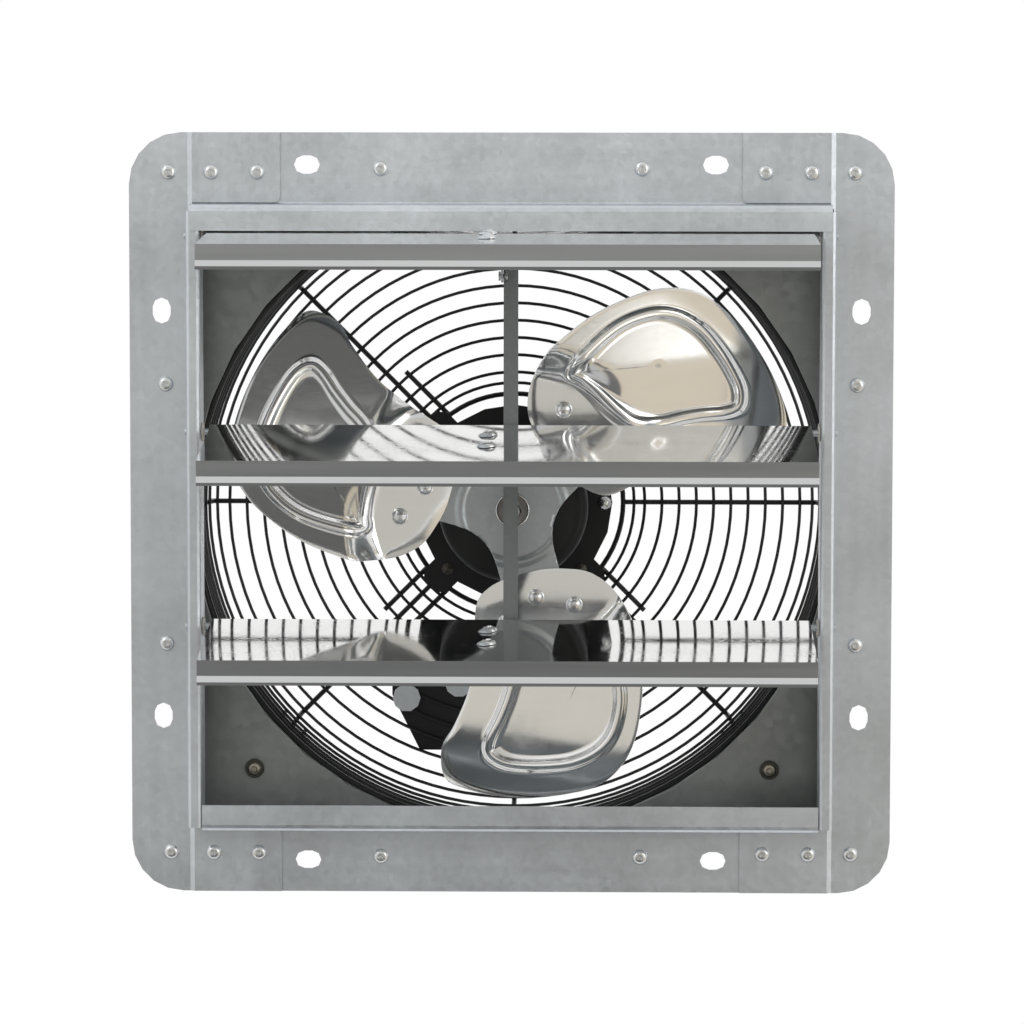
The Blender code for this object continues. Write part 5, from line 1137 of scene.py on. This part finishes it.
class FAN_OT_add_stage(bpy.types.Operator):
    """Floor, soft lamps, white surroundings and the camera of the photograph"""
    bl_idname = "exhaust_fan.add_stage"
    bl_label = "Add the stage"

    def execute(self, context):
        scene = context.scene
        self.add_floor(scene)
        self.add_world(scene)
        self.add_lamps(scene)
        self.add_camera(scene)
        scene.view_settings.view_transform = "Standard"
        return {"FINISHED"}

    def add_floor(self, scene):
        work = bmesh.new()
        bmesh.ops.create_grid(work, x_segments=1, y_segments=1, size=6.0,
                              matrix=Matrix.Translation((0.0, 0.0, FLOOR_HEIGHT)))
        mesh = bpy.data.meshes.new("studio_floor")
        work.to_mesh(mesh)
        work.free()
        floor = bpy.data.objects.new("studio_floor", mesh)
        scene.collection.objects.link(floor)
        material = bpy.data.materials.new("Studio floor")
        material.use_nodes = True
        tree = material.node_tree
        paint = tree.nodes["Principled BSDF"]
        paint.inputs["Base Color"].default_value = (*scene.fan_colours.floor, 1.0)
        paint.inputs["Roughness"].default_value = 0.9
        seen = seen_share(tree)
        white = tree.nodes.new("ShaderNodeEmission")
        white.inputs["Strength"].default_value = 1.0
        mixed = tree.nodes.new("ShaderNodeMixShader")
        tree.links.new(seen, mixed.inputs[0])
        tree.links.new(paint.outputs[0], mixed.inputs[1])
        tree.links.new(white.outputs[0], mixed.inputs[2])
        tree.links.new(mixed.outputs[0], tree.nodes["Material Output"].inputs["Surface"])
        mesh.materials.append(material)

    def add_world(self, scene):
        world = bpy.data.worlds.new("Studio")
        scene.world = world
        world.use_nodes = True
        tree = world.node_tree
        tree.nodes.clear()
        seen = seen_share(tree)
        light = add_node(tree, "ShaderNodeBackground", Color=SKY, Strength=SKY_STRENGTH)
        white = add_node(tree, "ShaderNodeBackground", Color=(1.0, 1.0, 1.0, 1.0), Strength=1.0)
        mixed = tree.nodes.new("ShaderNodeMixShader")
        out = tree.nodes.new("ShaderNodeOutputWorld")
        tree.links.new(seen, mixed.inputs[0])
        tree.links.new(light.outputs[0], mixed.inputs[1])
        tree.links.new(white.outputs[0], mixed.inputs[2])
        tree.links.new(mixed.outputs[0], out.inputs["Surface"])

    def add_card(self, scene, name, size, matrix, colour):
        """A soft board that the bright metal mirrors; the camera doesn't see it."""
        work = bmesh.new()
        bmesh.ops.create_grid(work, x_segments=1, y_segments=1, size=0.5,
                              matrix=matrix @ Matrix.Diagonal((size[0], size[1], 1.0, 1.0)))
        mesh = bpy.data.meshes.new(name)
        work.to_mesh(mesh)
        work.free()
        card = bpy.data.objects.new(name, mesh)
        scene.collection.objects.link(card)
        material = bpy.data.materials.new(name)
        material.use_nodes = True
        tree = material.node_tree
        tree.nodes.clear()
        glow = add_node(tree, "ShaderNodeEmission", Color=(*colour, 1.0), Strength=1.0)
        out = tree.nodes.new("ShaderNodeOutputMaterial")
        tree.links.new(glow.outputs[0], out.inputs["Surface"])
        mesh.materials.append(material)
        card.visible_camera = False
        card.visible_shadow = False
        card.visible_diffuse = False

    def add_lamps(self, scene):
        front = Matrix.Translation((0.0, -3.6, 0.3)) @ Matrix.Rotation(math.radians(90), 4, "X")
        self.add_card(scene, "front_card", (5.0, 3.4), front, (0.62, 0.60, 0.56))
        for name, x, y, size, colour in (
                ("low_card_right", 1.35, -1.6, (1.9, 2.6), (0.76, 0.68, 0.56)),
                ("low_card_middle", -0.05, -1.6, (0.9, 2.6), (0.17, 0.17, 0.17)),
                ("low_card_left", -1.5, -1.8, (2.0, 2.8), (0.70, 0.67, 0.61))):
            self.add_card(scene, name, size, Matrix.Translation((x, y, -0.60)), colour)
        for name, x, width, colour in (("high_card_left", -0.55, 2.1, (0.70, 0.71, 0.72)),
                                       ("high_card_right", 1.5, 2.0, (0.74, 0.68, 0.58))):
            high = Matrix.Translation((x, -2.3, 1.6)) @ Matrix.Rotation(math.radians(55), 4, "X")
            self.add_card(scene, name, (width, 1.9), high, colour)
        for name, place, size, energy in (("key_lamp", (-1.6, -2.2, 1.9), 1.6, 26.0),
                                          ("fill_lamp", (2.0, -2.0, 0.8), 1.8, 14.0),
                                          ("rear_lamp", (0.3, 2.2, 1.4), 1.6, 16.0)):
            lamp = bpy.data.lights.new(name, "AREA")
            lamp.size = size
            lamp.energy = energy
            holder = bpy.data.objects.new(name, lamp)
            holder.location = place
            holder.rotation_euler = (-Vector(place)).to_track_quat("-Z", "Y").to_euler()
            holder.visible_glossy = name != "rear_lamp"
            scene.collection.objects.link(holder)

    def add_camera(self, scene):
        distance, rise, side = 3.0, math.radians(4.65), math.radians(1.1)
        back = Vector((math.sin(side) * math.cos(rise), -math.cos(side) * math.cos(rise), math.sin(rise)))
        lens = bpy.data.cameras.new("photo_camera")
        lens.sensor_width = SENSOR_WIDTH
        lens.lens = SENSOR_WIDTH * FOCAL_PIXELS / PHOTO_WIDTH
        lens.shift_x = SHIFT_PIXELS[0] / PHOTO_WIDTH
        lens.shift_y = SHIFT_PIXELS[1] / PHOTO_WIDTH
        lens.clip_end = 30.0
        camera = bpy.data.objects.new("photo_camera", lens)
        camera.location = back * distance
        camera.rotation_mode = "QUATERNION"
        roll = Matrix.Rotation(math.radians(0.07), 3, "Z").to_quaternion()
        camera.rotation_quaternion = (-back).to_track_quat("-Z", "Y") @ roll
        scene.collection.objects.link(camera)
        scene.camera = camera


OPERATORS = (FAN_OT_finish_solids, FAN_OT_add_guard_back, FAN_OT_add_guard_side, FAN_OT_add_blades,
             FAN_OT_add_shutters, FAN_OT_add_frame_rivets, FAN_OT_add_motor, FAN_OT_add_hub,
             FAN_OT_add_spider, FAN_OT_add_bolts, FAN_OT_add_stage)


class FAN_PT_sidebar(bpy.types.Panel):
    """Sizes, colours and steps of the exhaust fan"""
    bl_idname = "FAN_PT_sidebar"
    bl_label = "Shutter exhaust fan"
    bl_space_type = "VIEW_3D"
    bl_region_type = "UI"
    bl_category = "Exhaust fan"

    def draw(self, context):
        layout = self.layout
        scene = context.scene
        for title, settings in (("Guard", scene.fan_guard), ("Blades", scene.fan_blades),
                                ("Shutters", scene.fan_shutters), ("Colours", scene.fan_colours)):
            column = layout.box().column()
            column.label(text=title)
            for label in settings.__annotations__:
                column.prop(settings, label)
        for operator in OPERATORS:
            layout.operator(operator.bl_idname)


SETTINGS = {"fan_guard": GuardSizes, "fan_blades": BladeSizes, "fan_shutters": ShutterSizes,
            "fan_colours": FanColours}


def register():
    for kind in (*SETTINGS.values(), *OPERATORS, FAN_PT_sidebar):
        bpy.utils.register_class(kind)
    for label, kind in SETTINGS.items():
        setattr(bpy.types.Scene, label, bpy.props.PointerProperty(type=kind))


def unregister():
    for label in SETTINGS:
        delattr(bpy.types.Scene, label)
    for kind in reversed((*SETTINGS.values(), *OPERATORS, FAN_PT_sidebar)):
        bpy.utils.unregister_class(kind)


def main():
    register()
    for operator in OPERATORS:
        group, name = operator.bl_idname.split(".")
        getattr(getattr(bpy.ops, group), name)()


if __name__ == "__main__":
    main()
